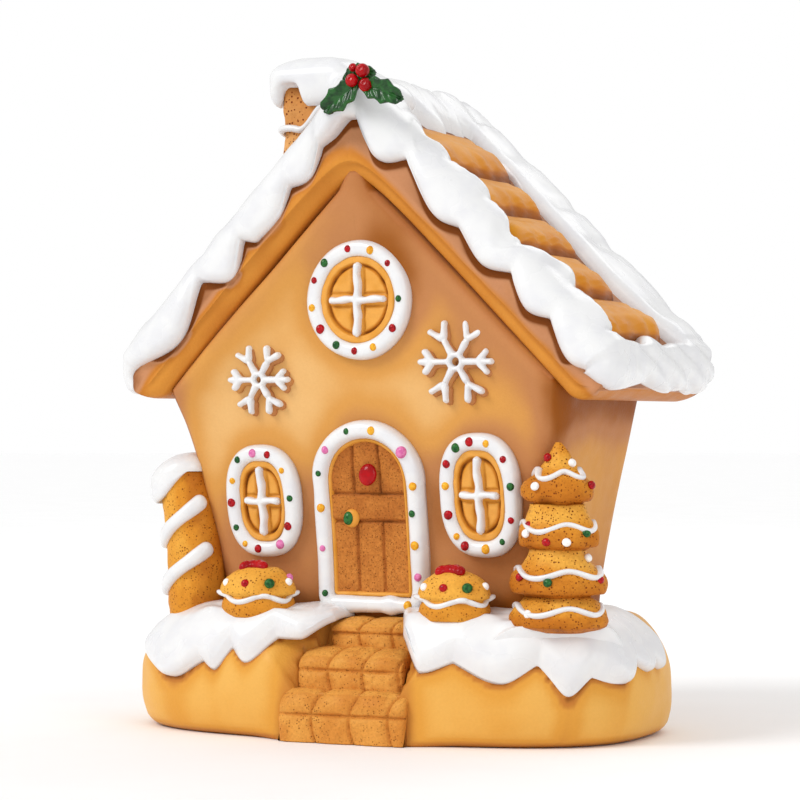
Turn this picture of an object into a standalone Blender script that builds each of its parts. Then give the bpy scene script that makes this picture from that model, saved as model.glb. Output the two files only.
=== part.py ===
"""Gingerbread house ornament: a small cast and painted house with an iced roof.

The house stands on a low rounded mound. Its front faces -Y, +Z is up, and the origin
is a point of the flat underside, below the middle of the house. The design below is
written in millimetres, and add_solid turns it into metres.
"""
import math

import bmesh
import bpy
from mathutils import Vector

MM = 0.001
GAP = 0.35              # clearance between neighbouring solids
HALF_PI = math.pi / 2

# mound that everything stands on
MOUND_CENTRE = (-3.0, 1.0)
MOUND_HALF = (98.5, 58.0)
MOUND_SQUARENESS = 2.8
MOUND_TOP = 43.0
MOUND_WAIST = 13.0      # height of the widest line
MOUND_SHOULDER = 24.0   # how far the round shoulder reaches in
MOUND_UNDERCUT = 8.0    # how far the flat underside is drawn in

# house walls, which lean outwards towards the eaves
WALL_FOOT_Z = 32.0
WALL_FOOT_HALF = 61.5
WALL_FLARE = 14.5
WALL_FLARE_RISE = 74.0
FRONT_FOOT_Y = 31.0
FRONT_LEAN = 11.0
FRONT_LEAN_FROM = 45.0
FRONT_LEAN_RISE = 95.0
BACK_WALL_Y = 39.0
WALL_CORNER = 9.0

# roof slab, seen from the front: an upper and a lower line on each side
RIDGE_Z = 222.0
RIDGE_ROUND = 8.0
SOFFIT_APEX_Z = 197.5
SLOPE_OUT = {-1: 1.10, 1: 1.03}
SLOPE_IN = {-1: 1.02, 1: 0.985}
EAVE_OUT_X = {-1: 88.5, 1: 93.0}
EAVE_IN_X = {-1: 74.5, 1: 79.0}
EAVE_BULGE = 8.0
ROOF_MID_Y = 3.0
ROOF_HALF_DEPTH = 51.0
ROOF_EDGE_ROUND = 6.0

# tile courses: distance of each lower lip from the ridge, along the slope
COURSE_LIPS = (46.5, 66.4, 86.0, 107.5, 129.0)
COURSE_LIP_HEIGHT = 6.5
COURSE_BACK_Y = 17.0

# icing on the roof
ICING = 5.0
RIDGE_ICING = 8.0
RIDGE_ICING_HALF = 17.0
EAVE_ICING_FROM = 130.5
BACK_BAND_Y = 37.0
FRONT_BAND_Y = -30.0
BACK_DRAPE = 8.0
# how far the front icing hangs down, as (distance from the ridge, depth) of each
# lobe and each notch between two lobes
FRONT_DRAPE = {
    -1: ((0, 7), (10, 11), (17, 10), (24, 15), (37, 10), (45, 15), (56, 13), (67, 8),
         (74, 14), (93, 5), (112, 11), (134, 5), (160, 7)),
    1: ((0, 7), (6, 6), (15, 15), (24, 11), (34, 6), (48, 13), (57, 12), (66, 9),
        (75, 11), (90, 6), (100, 10), (112, 6), (125, 11), (136, 8), (160, 5)),
}

# chimney on the left slope
CHIMNEY_X = (-40.0, -15.0)
CHIMNEY_Y = (-27.0, -3.0)
CHIMNEY_TOP = 231.0
CAP_TOP = 243.5

# front wall details: centre x and z, then half width and half height
ROUND_WINDOW = (0.7, 152.9, 20.0, 21.0)
LEFT_WINDOW = (-40.6, 82.2, 14.7, 20.2)
RIGHT_WINDOW = (43.8, 85.1, 15.2, 21.6)
WINDOW_RING = 6.2
WINDOW_RING_HEIGHT = 4.2
DOOR_X = 1.4
DOOR_FOOT_Z = 43.0
DOOR_TOP_Z = 111.4
DOOR_HALF = 21.4
DOOR_FRAME = 6.6
DOOR_FRAME_HEIGHT = 5.0
DOOR_LEAF = 2.2
SNOWFLAKES = {"left": (-39.0, 125.3, 13.0), "right": (37.5, 131.0, 15.0)}

# steps: x from, x to, front y, back y, z from, z to
STEPS = ((-23.0, 25.0, -60.0, -46.0, 0.0, 19.0),
         (-19.0, 21.0, -53.0, -39.0, 19.0, 33.0),
         (-11.0, 19.0, -43.0, -31.6, 33.0, 43.0))

COLUMN_FOOT = (-74.0, -30.0)
COLUMN_LEAN = -5.0      # sideways shift of the column's top
COLUMN_RADIUS = 10.0
COLUMN_TOP = 97.0
TREE_AT = (73.5, -39.0)
TREE_DEPTH = 0.78       # the tree and the bushes are a little flat from front to back
# tree tiers from the top down: z of skirt, z of top, skirt radius, top radius
TREE_TIERS = ((83.0, 103.5, 12.6, 0.6),
              (67.8, 82.6, 15.2, 8.0),
              (52.0, 67.4, 18.2, 9.6),
              (45.0, 51.4, 18.0, 12.0))
BUSHES = {"left": (-39.0, -43.5, 15.0), "right": (37.0, -43.5, 14.2)}
BUSH_TOP = 59.0

SNOW = 3.6
# lower edge of each snow patch: (angle round the mound, height on its side), in
# degrees, where a height of 0 is the waist and 90 is the top
SNOW_EDGE = {
    "left": ((-163, 52), (-154, 33), (-145, 17), (-138, 26), (-134, 22), (-128, 38),
             (-123, 28), (-114, 49), (-103, 50), (-99, 62)),
    "right": ((-65, 55), (-59, 24), (-51, 33), (-41, 19), (-33, 31), (-27, 12),
              (-21, 22), (-13, 21), (-10, 36), (-5, 27), (-2, 38), (1, 30), (4, 50)),
}

PAINTS = {
    "biscuit": ((0.62, 0.33, 0.11), 0.45),
    "wall": ((0.72, 0.45, 0.20), 0.45),
    "tile": ((0.68, 0.34, 0.07), 0.45),
    "baked": ((0.50, 0.24, 0.08), 0.55),
    "icing": ((0.88, 0.89, 0.90), 0.22),
    "leaf": ((0.02, 0.13, 0.05), 0.30),
    "berry": ((0.50, 0.01, 0.02), 0.15),
    "green": ((0.02, 0.16, 0.06), 0.20),
}


# --- small helpers ---------------------------------------------------------------

def mix(a, b, t):
    return a + (b - a) * t


def smooth(t):
    t = min(max(t, 0.0), 1.0)
    return t * t * (3.0 - 2.0 * t)


def pillow(t):
    """Height of a rounded strip across its width, 0..1: low at both borders."""
    return 0.35 + 0.65 * (1.0 - abs(2.0 * t - 1.0) ** 3)


def follow(table, x):
    """Smooth curve through a short table of (x, value)."""
    if x <= table[0][0]:
        return table[0][1]
    for (x0, v0), (x1, v1) in zip(table, table[1:]):
        if x <= x1:
            return mix(v0, v1, smooth((x - x0) / (x1 - x0)))
    return table[-1][1]


def paint(name):
    """One shared recipe for each paint of the casting."""
    material = bpy.data.materials.get(name) or bpy.data.materials.new(name)
    material.use_nodes = True
    colour, roughness = PAINTS[name]
    shader = material.node_tree.nodes["Principled BSDF"]
    shader.inputs["Base Color"].default_value = (*colour, 1.0)
    shader.inputs["Roughness"].default_value = roughness
    shader.inputs["Metallic"].default_value = 0.0
    material.diffuse_color = (*colour, 1.0)
    return material


def add_solid(name, verts, faces, paint_name, sharp=40.0):
    """Make a closed mesh object in metres, with its faces turned outwards."""
    mesh = bpy.data.meshes.new(name)
    mesh.from_pydata([(x * MM, y * MM, z * MM) for x, y, z in verts], [], faces)
    work = bmesh.new()
    work.from_mesh(mesh)
    bmesh.ops.recalc_face_normals(work, faces=work.faces[:])
    bmesh.ops.triangulate(work, faces=work.faces[:])
    work.to_mesh(mesh)
    work.free()
    mesh.shade_smooth()
    mesh.set_sharp_from_angle(angle=math.radians(sharp))
    solid = bpy.data.objects.new(name, mesh)
    solid.data.materials.append(paint(paint_name))
    bpy.context.scene.collection.objects.link(solid)
    return solid


def add_cutter(name, verts, faces):
    cutter = add_solid(name, verts, faces, "biscuit")
    cutter.hide_render = True
    cutter.display_type = "WIRE"
    return cutter


def cut(solid, cutter):
    modifier = solid.modifiers.new("cut_" + cutter.name, "BOOLEAN")
    modifier.operation = "DIFFERENCE"
    modifier.solver = "EXACT"
    modifier.object = cutter


def loft(rings, flat_ends=False):
    """Skin closed rings of equal length; each end closes flat or with a fan."""
    count = len(rings[0])
    verts = [point for ring in rings for point in ring]
    faces = []
    for level in range(len(rings) - 1):
        for k in range(count):
            a, b = level * count + k, level * count + (k + 1) % count
            faces.append((a, b, b + count, a + count))
    for first in (0, (len(rings) - 1) * count):
        ends = [first + k for k in range(count)]
        if flat_ends:
            faces.append(tuple(ends))
            continue
        hub = len(verts)
        verts.append(tuple(sum(verts[e][axis] for e in ends) / count for axis in range(3)))
        faces += [(ends[k], ends[(k + 1) % count], hub) for k in range(count)]
    return verts, faces


def circle(count, turn=0.0):
    return [turn + 2.0 * math.pi * k / count for k in range(count)]


def box(x, y, z):
    """Ring loft of a plain box, for cutters."""
    corners = ((x[0], y[0]), (x[1], y[0]), (x[1], y[1]), (x[0], y[1]))
    return loft([[(cx, cy, level) for cx, cy in corners] for level in z], flat_ends=True)


def piping(path, half, height, closed, lift):
    """A piped line: a flattened tube along (point, outward direction) pairs."""
    count = len(path)
    rings = []
    for k, (point, out) in enumerate(path):
        before = Vector(path[(k - 1) % count if closed else max(k - 1, 0)][0])
        after = Vector(path[(k + 1) % count if closed else min(k + 1, count - 1)][0])
        out = Vector(out).normalized()
        side = (after - before).cross(out).normalized()
        end = 1.0 if closed or 0 < k < count - 1 else 0.45
        ring = []
        for across, up in ((-1, 0), (-0.6, 1), (0.6, 1), (1, 0)):
            place = Vector(point) + side * across * half * end
            ring.append(tuple(place + out * (lift + up * height * end)))
        rings.append(ring)
    return close_loop(rings) if closed else loft(rings)


def coat(place, rows, columns, thickness, keep):
    """A layer on a surface: place(i, j, lift) gives its points, on a kept grid."""
    verts, index, faces, used = [], {}, [], {}

    def vertex(i, j, top):
        if (i, j, top) not in index:
            index[(i, j, top)] = len(verts)
            verts.append(place(i, j, GAP + (thickness(i, j) if top else 0.0)))
        return index[(i, j, top)]

    for i in range(rows - 1):
        for j in range(columns - 1):
            if not keep(i, j):
                continue
            cell = ((i, j), (i + 1, j), (i + 1, j + 1), (i, j + 1))
            faces.append(tuple(vertex(a, b, True) for a, b in cell))
            faces.append(tuple(vertex(a, b, False) for a, b in reversed(cell)))
            for k in range(4):
                edge = (cell[k], cell[(k + 1) % 4])
                used[edge] = True
    for start, end in used:
        if (end, start) not in used:
            faces.append((vertex(*start, False), vertex(*end, False),
                          vertex(*end, True), vertex(*start, True)))
    return verts, faces


# --- mound -----------------------------------------------------------------------

def mound_rim(angle):
    """Distance from the mound's centre to its widest line."""
    c, s = abs(math.cos(angle)) / MOUND_HALF[0], abs(math.sin(angle)) / MOUND_HALF[1]
    return (c ** MOUND_SQUARENESS + s ** MOUND_SQUARENESS) ** (-1.0 / MOUND_SQUARENESS)


def mound_at(angle, reach, z):
    return (MOUND_CENTRE[0] + reach * math.cos(angle),
            MOUND_CENTRE[1] + reach * math.sin(angle), z)


def mound_point(angle, rise, lift=0.0):
    """Point on the round shoulder: rise 0 is the waist and 90 degrees the top."""
    power = 2.0 / MOUND_SQUARENESS
    c, s = max(math.cos(rise), 0.0), math.sin(rise)
    inset = MOUND_SHOULDER * (1.0 - c ** power)
    z = MOUND_WAIST + (MOUND_TOP - MOUND_WAIST) * s ** power
    return mound_at(angle, mound_rim(angle) - inset + lift * c, z + lift * s)


def mound_height(x, y):
    dx, dy = x - MOUND_CENTRE[0], y - MOUND_CENTRE[1]
    inset = mound_rim(math.atan2(dy, dx)) - math.hypot(dx, dy)
    reach = min(max(1.0 - inset / MOUND_SHOULDER, 0.0), 0.84)
    rise = (1.0 - reach ** MOUND_SQUARENESS) ** (1.0 / MOUND_SQUARENESS)
    return MOUND_WAIST + (MOUND_TOP - MOUND_WAIST) * rise


def make_mound(body_cutter):
    angles = circle(30, math.pi / 30)
    rings = [[mound_at(a, mound_rim(a) - MOUND_UNDERCUT, 0.0) for a in angles],
             [mound_at(a, mound_rim(a) - 0.45 * MOUND_UNDERCUT, 0.14 * MOUND_WAIST)
              for a in angles],
             [mound_at(a, mound_rim(a) - 0.1 * MOUND_UNDERCUT, 0.5 * MOUND_WAIST)
              for a in angles]]
    for rise in (0.0, 16.0, 32.0, 50.0, 68.0, 90.0):
        rings.append([mound_point(a, math.radians(rise)) for a in angles])
    mound = add_solid("base_mound", *loft(rings, flat_ends=True), "biscuit")
    cut(mound, body_cutter)
    clear = 9.0
    for number, (x0, x1, front, back, z0, z1) in enumerate(STEPS, 1):
        low = z0 - (clear if number == 1 else GAP)
        high = z1 + (clear if number == len(STEPS) else GAP)
        cutter = add_cutter(f"step_room_{number}", *box(
            (x0 - GAP, x1 + GAP), (front - clear, back + GAP), (low, high)))
        cut(mound, cutter)


def make_steps():
    round_off = 2.0
    for number, (x0, x1, front, back, z0, z1) in enumerate(STEPS, 1):
        foot = z0 if number == 1 else z0 + GAP
        rings = []
        for level, inset in ((foot, 0.0), (mix(foot, z1, 0.5), 0.0),
                             (z1 - round_off, 0.6), (z1 - 0.4, 0.6 + round_off)):
            dip = 1.6 if level > z1 - round_off else 0.0
            rings.append([(x0 + inset, front + inset, level - dip),
                          (mix(x0, x1, 0.5), front + inset - 0.5, level - dip),
                          (x1 - inset, front + inset, level - dip),
                          (x1 - inset, back, level), (x0 + inset, back, level)])
        add_solid(f"step_{number}", *loft(rings), "baked")


# --- house body ------------------------------------------------------------------

def front_y(z):
    return -(FRONT_FOOT_Y + FRONT_LEAN * smooth((z - FRONT_LEAN_FROM) / FRONT_LEAN_RISE))


def wall_half(z):
    rise = max(z - MOUND_TOP, 0.0) / WALL_FLARE_RISE
    return WALL_FOOT_HALF + WALL_FLARE * rise ** 1.25


def body_ring(z, grow):
    """Outline of the house at one height, rounded at its four corners."""
    under_roof = 0.5
    left = min(wall_half(z) + grow, (SOFFIT_APEX_Z - under_roof - z) / SLOPE_IN[-1])
    right = min(wall_half(z) + grow, (SOFFIT_APEX_Z - under_roof - z) / SLOPE_IN[1])
    corner = min(WALL_CORNER, 0.45 * (left + right)) + grow * 0.5
    near, far = front_y(z) - grow, BACK_WALL_Y + grow
    ring = []
    for sx, sy, turn in ((-left, near, 180), (right, near, 270), (right, far, 0),
                         (-left, far, 90)):
        cx = sx + corner if sx < 0 else sx - corner
        cy = sy + corner if sy < 0 else sy - corner
        for step in range(3):
            a = math.radians(turn + 45 * step)
            ring.append((cx + corner * math.cos(a), cy + corner * math.sin(a), z))
    return ring


def make_body():
    levels = [WALL_FOOT_Z, 43.0, 54.0, 64.0, 74.0, 84.0, 94.0, 104.0, 113.0, 118.5,
              122.0, 132.0, 142.0, 153.0, 175.0, 190.0, 196.0]
    rings = [body_ring(z, 0.0) for z in levels]
    add_solid("house_body", *loft(rings, flat_ends=True), "wall")
    grown = [body_ring(z, GAP) for z in [WALL_FOOT_Z - GAP] + levels[1:-5]]
    return add_cutter("body_room", *loft(grown, flat_ends=True))


def on_wall(x, z, lift):
    return (x, front_y(z) - lift, z)


# --- roof slab -------------------------------------------------------------------

def slope_length(side):
    return EAVE_OUT_X[side] * math.hypot(1.0, SLOPE_OUT[side])


def roof_outer(x):
    side = -1 if x < 0 else 1
    return RIDGE_Z - SLOPE_OUT[side] * (math.hypot(x, RIDGE_ROUND) - RIDGE_ROUND)


def roof_section(run):
    """Upper point and unit direction into the slab, at a run from the ridge.

    Past the end of the slope the run goes on round the eave, as an angle in degrees
    added to the slope's length.
    """
    side = -1 if run < 0 else 1
    length = slope_length(side)
    share = min(abs(run) / length, 1.0)
    ox = share * EAVE_OUT_X[side]
    ix = share * EAVE_IN_X[side]
    outer = Vector((side * ox, roof_outer(side * ox)))
    inner = Vector((side * ix, SOFFIT_APEX_Z - SLOPE_IN[side] * ix))
    if abs(run) <= length:
        return outer, (inner - outer).normalized(), (inner - outer).length
    middle, radius = (outer + inner) / 2, (inner - outer).length / 2
    inward = (inner - outer).normalized()
    onward = Vector((-inward.y * side, inward.x * side))
    angle = math.radians(abs(run) - length)
    spoke = -inward * radius * math.cos(angle) + onward * EAVE_BULGE * math.sin(angle)
    return middle + spoke, -spoke.normalized(), radius


def wrap_edge(along):
    """Carry a distance from mid depth over the rounded front or back edge."""
    sign = -1 if along < 0 else 1
    flat = ROOF_HALF_DEPTH - ROOF_EDGE_ROUND
    turn = (abs(along) - flat) / ROOF_EDGE_ROUND
    if turn <= 0:
        return along, 0.0, (0.0, 1.0)
    if turn <= HALF_PI:
        s, c = math.sin(turn), math.cos(turn)
        return (sign * (flat + ROOF_EDGE_ROUND * s), ROOF_EDGE_ROUND * (1 - c),
                (sign * s, c))
    down = ROOF_EDGE_ROUND * (1 + turn - HALF_PI)
    return sign * ROOF_HALF_DEPTH, down, (float(sign), 0.0)


def roof_point(run, along, lift):
    outer, inward, _ = roof_section(run)
    y, depth, (out_y, out_up) = wrap_edge(along)
    place = outer + inward * (depth - lift * out_up)
    return (place.x, ROOF_MID_Y + y + lift * out_y, place.y)


def edge_run(depth):
    """Distance from mid depth at which the wrapped edge has gone down by depth."""
    flat = ROOF_HALF_DEPTH - ROOF_EDGE_ROUND
    if depth <= ROOF_EDGE_ROUND:
        return flat + ROOF_EDGE_ROUND * math.acos(1 - depth / ROOF_EDGE_ROUND)
    return flat + ROOF_EDGE_ROUND * HALF_PI + depth - ROOF_EDGE_ROUND


RIDGE_RUNS = (3.0, 6.0, 10.0, 16.0)
EAVE_TURNS = (30.0, 60.0, 90.0)


def slab_ring(along):
    """One closed outline of the slab: over the ridge, then back under the soffit."""
    y, depth, _ = wrap_edge(along)
    ring = []
    for side in (-1, 1):
        length = slope_length(side)
        runs = [*RIDGE_RUNS, length * 0.3, length * 0.65, length]
        runs += [length + turn for turn in (*EAVE_TURNS, 120.0, 150.0)]
        half = []
        for run in runs:
            outer, inward, _ = roof_section(side * run)
            half.append(outer + inward * depth)
        outer, inward, thick = roof_section(side * length)
        half.append(outer + inward * (thick - depth))
        outer, inward, thick = roof_section(side * length * 0.5)
        half.append(outer + inward * (thick - depth))
        ring.append(half)
    outer, inward, thick = roof_section(0.0)
    top, bottom = outer + inward * depth, outer + inward * (thick - depth)
    outline = [top] + ring[1] + [bottom] + ring[0][::-1]
    return [(p.x, ROOF_MID_Y + y, p.y) for p in outline]


def make_roof_slab():
    reach = ROOF_HALF_DEPTH - ROOF_EDGE_ROUND
    quarter = ROOF_EDGE_ROUND * HALF_PI
    edge = [reach + quarter, reach + quarter / 2, reach]
    stations = [-e for e in edge] + [0.0] + edge[::-1]
    rings = [slab_ring(along) for along in stations]
    add_solid("roof_slab", *loft(rings, flat_ends=True), "biscuit")


def front_band_edge(run):
    """Where the front icing stops on top of the slope, as a distance from mid depth."""
    wave = 3.5 * math.sin(abs(run) / 5.6 + 1.0) + 2.5 * math.sin(abs(run) / 2.9)
    if run < 0:
        wave = 0.3 * wave - 2.0
    return FRONT_BAND_Y - ROOF_MID_Y + wave


def back_band_edge(run):
    return BACK_BAND_Y - ROOF_MID_Y + 3.5 * math.sin(abs(run) / 5.2 + 2.0)


def make_courses():
    profile = ((0.0, 1.6), (0.4, 4.2), (0.75, 6.1), (0.93, 6.5), (1.0, 4.6))
    columns = 5
    cutter = add_cutter("chimney_room", *box(
        [CHIMNEY_X[0] - GAP, CHIMNEY_X[1] + GAP], [CHIMNEY_Y[0] - GAP, CHIMNEY_Y[1] + GAP],
        (150.0, 240.0)))
    for side, name in ((1, "right"), (-1, "left")):
        upper = RIDGE_ICING_HALF + 5.0
        for number, lip in enumerate(COURSE_LIPS, 1):
            end = lip * slope_length(side) / slope_length(1)

            beside_chimney = side < 0 and number == 1

            def place(i, j, lift, upper=upper, end=end, side=side,
                      beside_chimney=beside_chimney):
                run = mix(upper + GAP, end, profile[i][0])
                near = front_band_edge(side * run) + 12 * GAP
                if beside_chimney:
                    near = CHIMNEY_Y[1] - ROOF_MID_Y + 2 * GAP
                far = COURSE_BACK_Y - ROOF_MID_Y + 1.5 * math.sin(run)
                return roof_point(side * run, mix(near, far, j / (columns - 1)), lift)

            def lump(i, j, number=number):
                wave = 0.35 * math.sin(2.3 * j + number) if 0 < i < 4 else 0.0
                end_round = 0.72 if j in (0, columns - 1) else 1.0
                return (profile[i][1] + wave) * end_round

            shape = coat(place, len(profile), columns, lump, lambda i, j: True)
            course = add_solid(f"roof_course_{name}_{number}", *shape, "tile")
            if side < 0 and number == 2:
                cut(course, cutter)
            upper = end


# --- roof icing ------------------------------------------------------------------

def icing_rows():
    """Runs of the icing's grid from the left eave over the ridge to the right eave."""
    window = 11
    rows = []
    for side in (-1, 1):
        length = slope_length(side)
        half = [(side * run, False) for run in (3.0, 6.0, 10.0)]
        for k in range(window + 1):
            run = mix(RIDGE_ICING_HALF, EAVE_ICING_FROM * length / slope_length(1),
                      k / window)
            half.append((side * run, k < window))
        half += [(side * (length + turn), False) for turn in (0.0, *EAVE_TURNS, 105.0)]
        rows.append(half)
    left = [(run, open_below) for run, open_below in rows[0]]
    # a row is marked open when the cell on its way to the eave lies over the tiles
    joined = [(run, left[k - 1][1] if k else False) for k, (run, _) in enumerate(left)]
    return joined[::-1] + [(0.0, False)] + rows[1]


def make_roof_icing():
    rows = icing_rows()
    front, middle, back = 6, 2, 5
    columns = front + middle + back + 1

    def ridge_drip(run, j):
        """Small drips of the ridge icing run down a little between two columns."""
        if abs(run) != RIDGE_ICING_HALF or not front < j < front + middle:
            return run
        return run + math.copysign(3.0 if j % 2 else -1.0, run)

    def place(i, j, lift):
        run = rows[i][0]
        side = -1 if run < 0 else 1
        near, far = front_band_edge(run), back_band_edge(run)
        if j <= front:
            hang = follow(FRONT_DRAPE[side], abs(run))
            along = -edge_stations(edge_run(hang), -near)[j]
        elif j < front + middle:
            along = mix(near, far, (j - front) / middle)
        else:
            drape = BACK_DRAPE + 2.0 * math.sin(run / 4.5)
            if abs(run) > slope_length(side):
                drape = 5.0
            along = edge_stations(edge_run(drape), far)[columns - 1 - j]
        return roof_point(ridge_drip(run, j), along, lift)

    def edge_stations(end, start):
        """Stations from the hanging border, over the rounded edge, to the border on top."""
        flat = ROOF_HALF_DEPTH - ROOF_EDGE_ROUND
        turns = [flat + ROOF_EDGE_ROUND * HALF_PI * t for t in (1.0, 0.5, 0.0)]
        turns = [min(turn, end - 0.6 * k) for k, turn in enumerate(turns, 2)]
        return [end, mix(end, turns[0], 0.5), *turns, mix(flat, start, 0.5), start]

    def thickness(i, j):
        run = rows[i][0]
        side = -1 if run < 0 else 1
        full = mix(RIDGE_ICING, ICING, smooth(abs(run) / 20.0))
        over_tiles = RIDGE_ICING_HALF <= abs(run) <= EAVE_ICING_FROM + 1.0
        if j <= front:
            t = j / front
            shape = pillow(t) if over_tiles else mix(0.35, 1.0, smooth(3.0 * t))
        elif j >= front + middle:
            t = (j - front - middle + 1) / (back + 1)
            shape = pillow(t) if over_tiles else mix(1.0, 0.35, smooth(3.0 * t - 2.0))
        else:
            shape = 0.6 if over_tiles else 1.0
        if abs(run) > slope_length(side) + 60.0:
            full = 0.6 * full
        return max(full * shape, 1.2)

    def keep(i, j):
        return not (rows[i][1] and front <= j < front + middle)

    add_solid("roof_icing", *coat(place, len(rows), columns, thickness, keep), "icing", 70)


# --- chimney ---------------------------------------------------------------------

def chimney_outline(grow, count=16):
    """Rounded rectangle round the shaft, as one point for each angle."""
    cx, cy = sum(CHIMNEY_X) / 2, sum(CHIMNEY_Y) / 2
    hx, hy = (CHIMNEY_X[1] - CHIMNEY_X[0]) / 2 + grow, (CHIMNEY_Y[1] - CHIMNEY_Y[0]) / 2 + grow
    points = []
    for a in circle(count):
        c, s = abs(math.cos(a)) / hx, abs(math.sin(a)) / hy
        reach = (c ** 8 + s ** 8) ** -0.125
        points.append((cx + reach * math.cos(a), cy + reach * math.sin(a), a))
    return points


def make_chimney():
    outline = chimney_outline(-0.3)
    rings = [[(x, y, roof_outer(x) + 1.2 * GAP) for x, y, _ in outline],
             [(x, y, CHIMNEY_TOP - 1.5) for x, y, _ in outline],
             [(x, y, CHIMNEY_TOP) for x, y, _ in chimney_outline(-1.8)]]
    add_solid("chimney", *loft(rings), "baked")

    def hem(angle):
        """Lower edge of the icing cap, with drips on its front."""
        drip = 6.0 * max(math.sin(1.5 * angle - 0.6), 0.0) ** 2
        return CHIMNEY_TOP - 3.0 - drip * (1.0 if math.cos(angle) < 0.6 else 0.2)

    wide = chimney_outline(4.2)
    cx, cy = sum(CHIMNEY_X) / 2, sum(CHIMNEY_Y) / 2
    rings = [[(x, y, CHIMNEY_TOP + GAP) for x, y, _ in chimney_outline(GAP)],
             [(x, y, hem(a)) for x, y, a in chimney_outline(GAP)],
             [(x, y, hem(a) - 0.5) for x, y, a in chimney_outline(3.0)]]
    for rise in (0.05, 0.6, 0.93):
        shrink = math.sqrt(1.0 - rise ** 2.4)
        z = mix(CHIMNEY_TOP, CAP_TOP, rise)
        rings.append([(mix(cx, x, shrink), mix(cy, y, shrink), z) for x, y, _ in wide])
    add_solid("chimney_cap", *loft(rings), "icing", 70)


# --- holly -----------------------------------------------------------------------

def make_holly():
    """Three spiky leaves and three berries in front of the roof's apex."""
    leaves = {"left": ((4.0, 229.0), (-11.0, 219.0), 5.0, 0.0),
              "right": ((5.5, 228.5), (21.0, 220.0), 5.0, 0.0),
              "back": ((-3.0, 234.5), (9.5, 236.5), 3.6, 2.4)}
    for name, (root, tip, half, back) in leaves.items():
        start, end = Vector(root), Vector(tip)
        along, across = end - start, Vector((start.y - end.y, end.x - start.x)).normalized()
        outline = []
        spikes = ((0.0, 0.2), (0.18, 0.9), (0.32, 0.62), (0.5, 1.0), (0.66, 0.55), (0.8, 0.75))
        for t, w in spikes:
            outline.append(start + along * t + across * half * w)
        outline.append(end)
        for t, w in spikes[::-1]:
            outline.append(start + along * t - across * half * w)
        rings = [[(p.x, level + back, p.y) for p in outline] for level in (-56.4, -54.9)]
        add_solid(f"holly_leaf_{name}", *loft(rings), "leaf")
    for number, (x, z, radius) in enumerate(((6.2, 232.4, 2.4), (2.2, 229.2, 2.3),
                                             (7.4, 227.4, 2.4)), 1):
        add_solid(f"holly_berry_{number}", *ball((x, -59.2, z), (radius,) * 3), "berry")


def ball(centre, radii, count=9, levels=4):
    rings = []
    for level in range(1, levels):
        tilt = math.pi * level / levels - HALF_PI
        rings.append([(centre[0] + radii[0] * math.cos(tilt) * math.cos(a),
                       centre[1] + radii[1] * math.cos(tilt) * math.sin(a),
                       centre[2] + radii[2] * math.sin(tilt)) for a in circle(count)])
    verts, faces = loft(rings)
    verts[-2] = (centre[0], centre[1], centre[2] - radii[2])
    verts[-1] = (centre[0], centre[1], centre[2] + radii[2])
    return verts, faces


# --- windows, door and snowflakes ------------------------------------------------

def oval(half_x, half_z, squareness):
    def reach(angle):
        c, s = abs(math.cos(angle)) / half_x, abs(math.sin(angle)) / half_z
        return (c ** squareness + s ** squareness) ** (-1.0 / squareness)
    return reach


def close_loop(rings):
    """Skin rings that run round a closed loop, without end caps."""
    total = len(rings) * len(rings[0])
    verts, faces = loft(rings + [rings[0]])
    sides = faces[:total]
    return verts[:total], [tuple(v % total for v in face) for face in sides]


def wall_band(outline, width, height):
    """Closed rounded band along an outline of (x, z) points on the front wall."""
    count, rings = len(outline), []
    for k, (x, z) in enumerate(outline):
        ahead, behind = outline[(k + 1) % count], outline[k - 1]
        side = Vector((ahead[1] - behind[1], behind[0] - ahead[0])).normalized() * width / 2
        rings.append([on_wall(x + side.x * across, z + side.y * across, GAP + up * height)
                      for across, up in ((-1, 0), (-0.6, 1), (0.6, 1), (1, 0))])
    return close_loop(rings)


def wall_plate(half_width, bottom, top, centre_x, lift, thick, rows=9):
    """Plate on the front wall, given its half width at each height."""
    rings = []
    for k in range(rows + 1):
        z = mix(bottom, top, 0.5 - 0.5 * math.cos(math.pi * k / rows))
        half = max(half_width(z), 0.8)
        rings.append([on_wall(centre_x - half, z, lift), on_wall(centre_x + half, z, lift),
                      on_wall(centre_x + 0.93 * half, z, lift + thick),
                      on_wall(centre_x - 0.93 * half, z, lift + thick)])
    return loft(rings, flat_ends=True)


def make_window(name, window, squareness):
    cx, cz, half_x, half_z = window
    middle = oval(half_x - WINDOW_RING / 2, half_z - WINDOW_RING / 2, squareness)
    outline = [(cx + middle(a) * math.cos(a), cz + middle(a) * math.sin(a))
               for a in circle(20)]
    ring = wall_band(outline, WINDOW_RING, WINDOW_RING_HEIGHT)
    add_solid(f"{name}_ring", *ring, "icing", 60)
    pane_x, pane_z = half_x - WINDOW_RING - 2 * GAP, half_z - WINDOW_RING - 2 * GAP

    def half_width(z):
        return pane_x * max(1.0 - abs((z - cz) / pane_z) ** squareness, 0.0) ** (1 / squareness)

    pane = wall_plate(half_width, cz - pane_z, cz + pane_z, cx, GAP, 1.8)
    add_solid(f"{name}_pane", *pane, "tile")
    lift, bar, thick = 1.8 + 3 * GAP, 1.3, 1.6
    arm_x, arm_z = 0.74 * pane_x, 0.84 * pane_z
    plus = [(bar, bar), (bar, arm_z), (-bar, arm_z), (-bar, bar), (-arm_x, bar),
            (-arm_x, -bar), (-bar, -bar), (-bar, -arm_z), (bar, -arm_z), (bar, -bar),
            (arm_x, -bar), (arm_x, bar)]
    rings = [[on_wall(cx + x, cz + z, level) for x, z in plus]
             for level in (lift, lift + thick)]
    add_solid(f"{name}_cross", *loft(rings, flat_ends=True), "icing")


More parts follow.
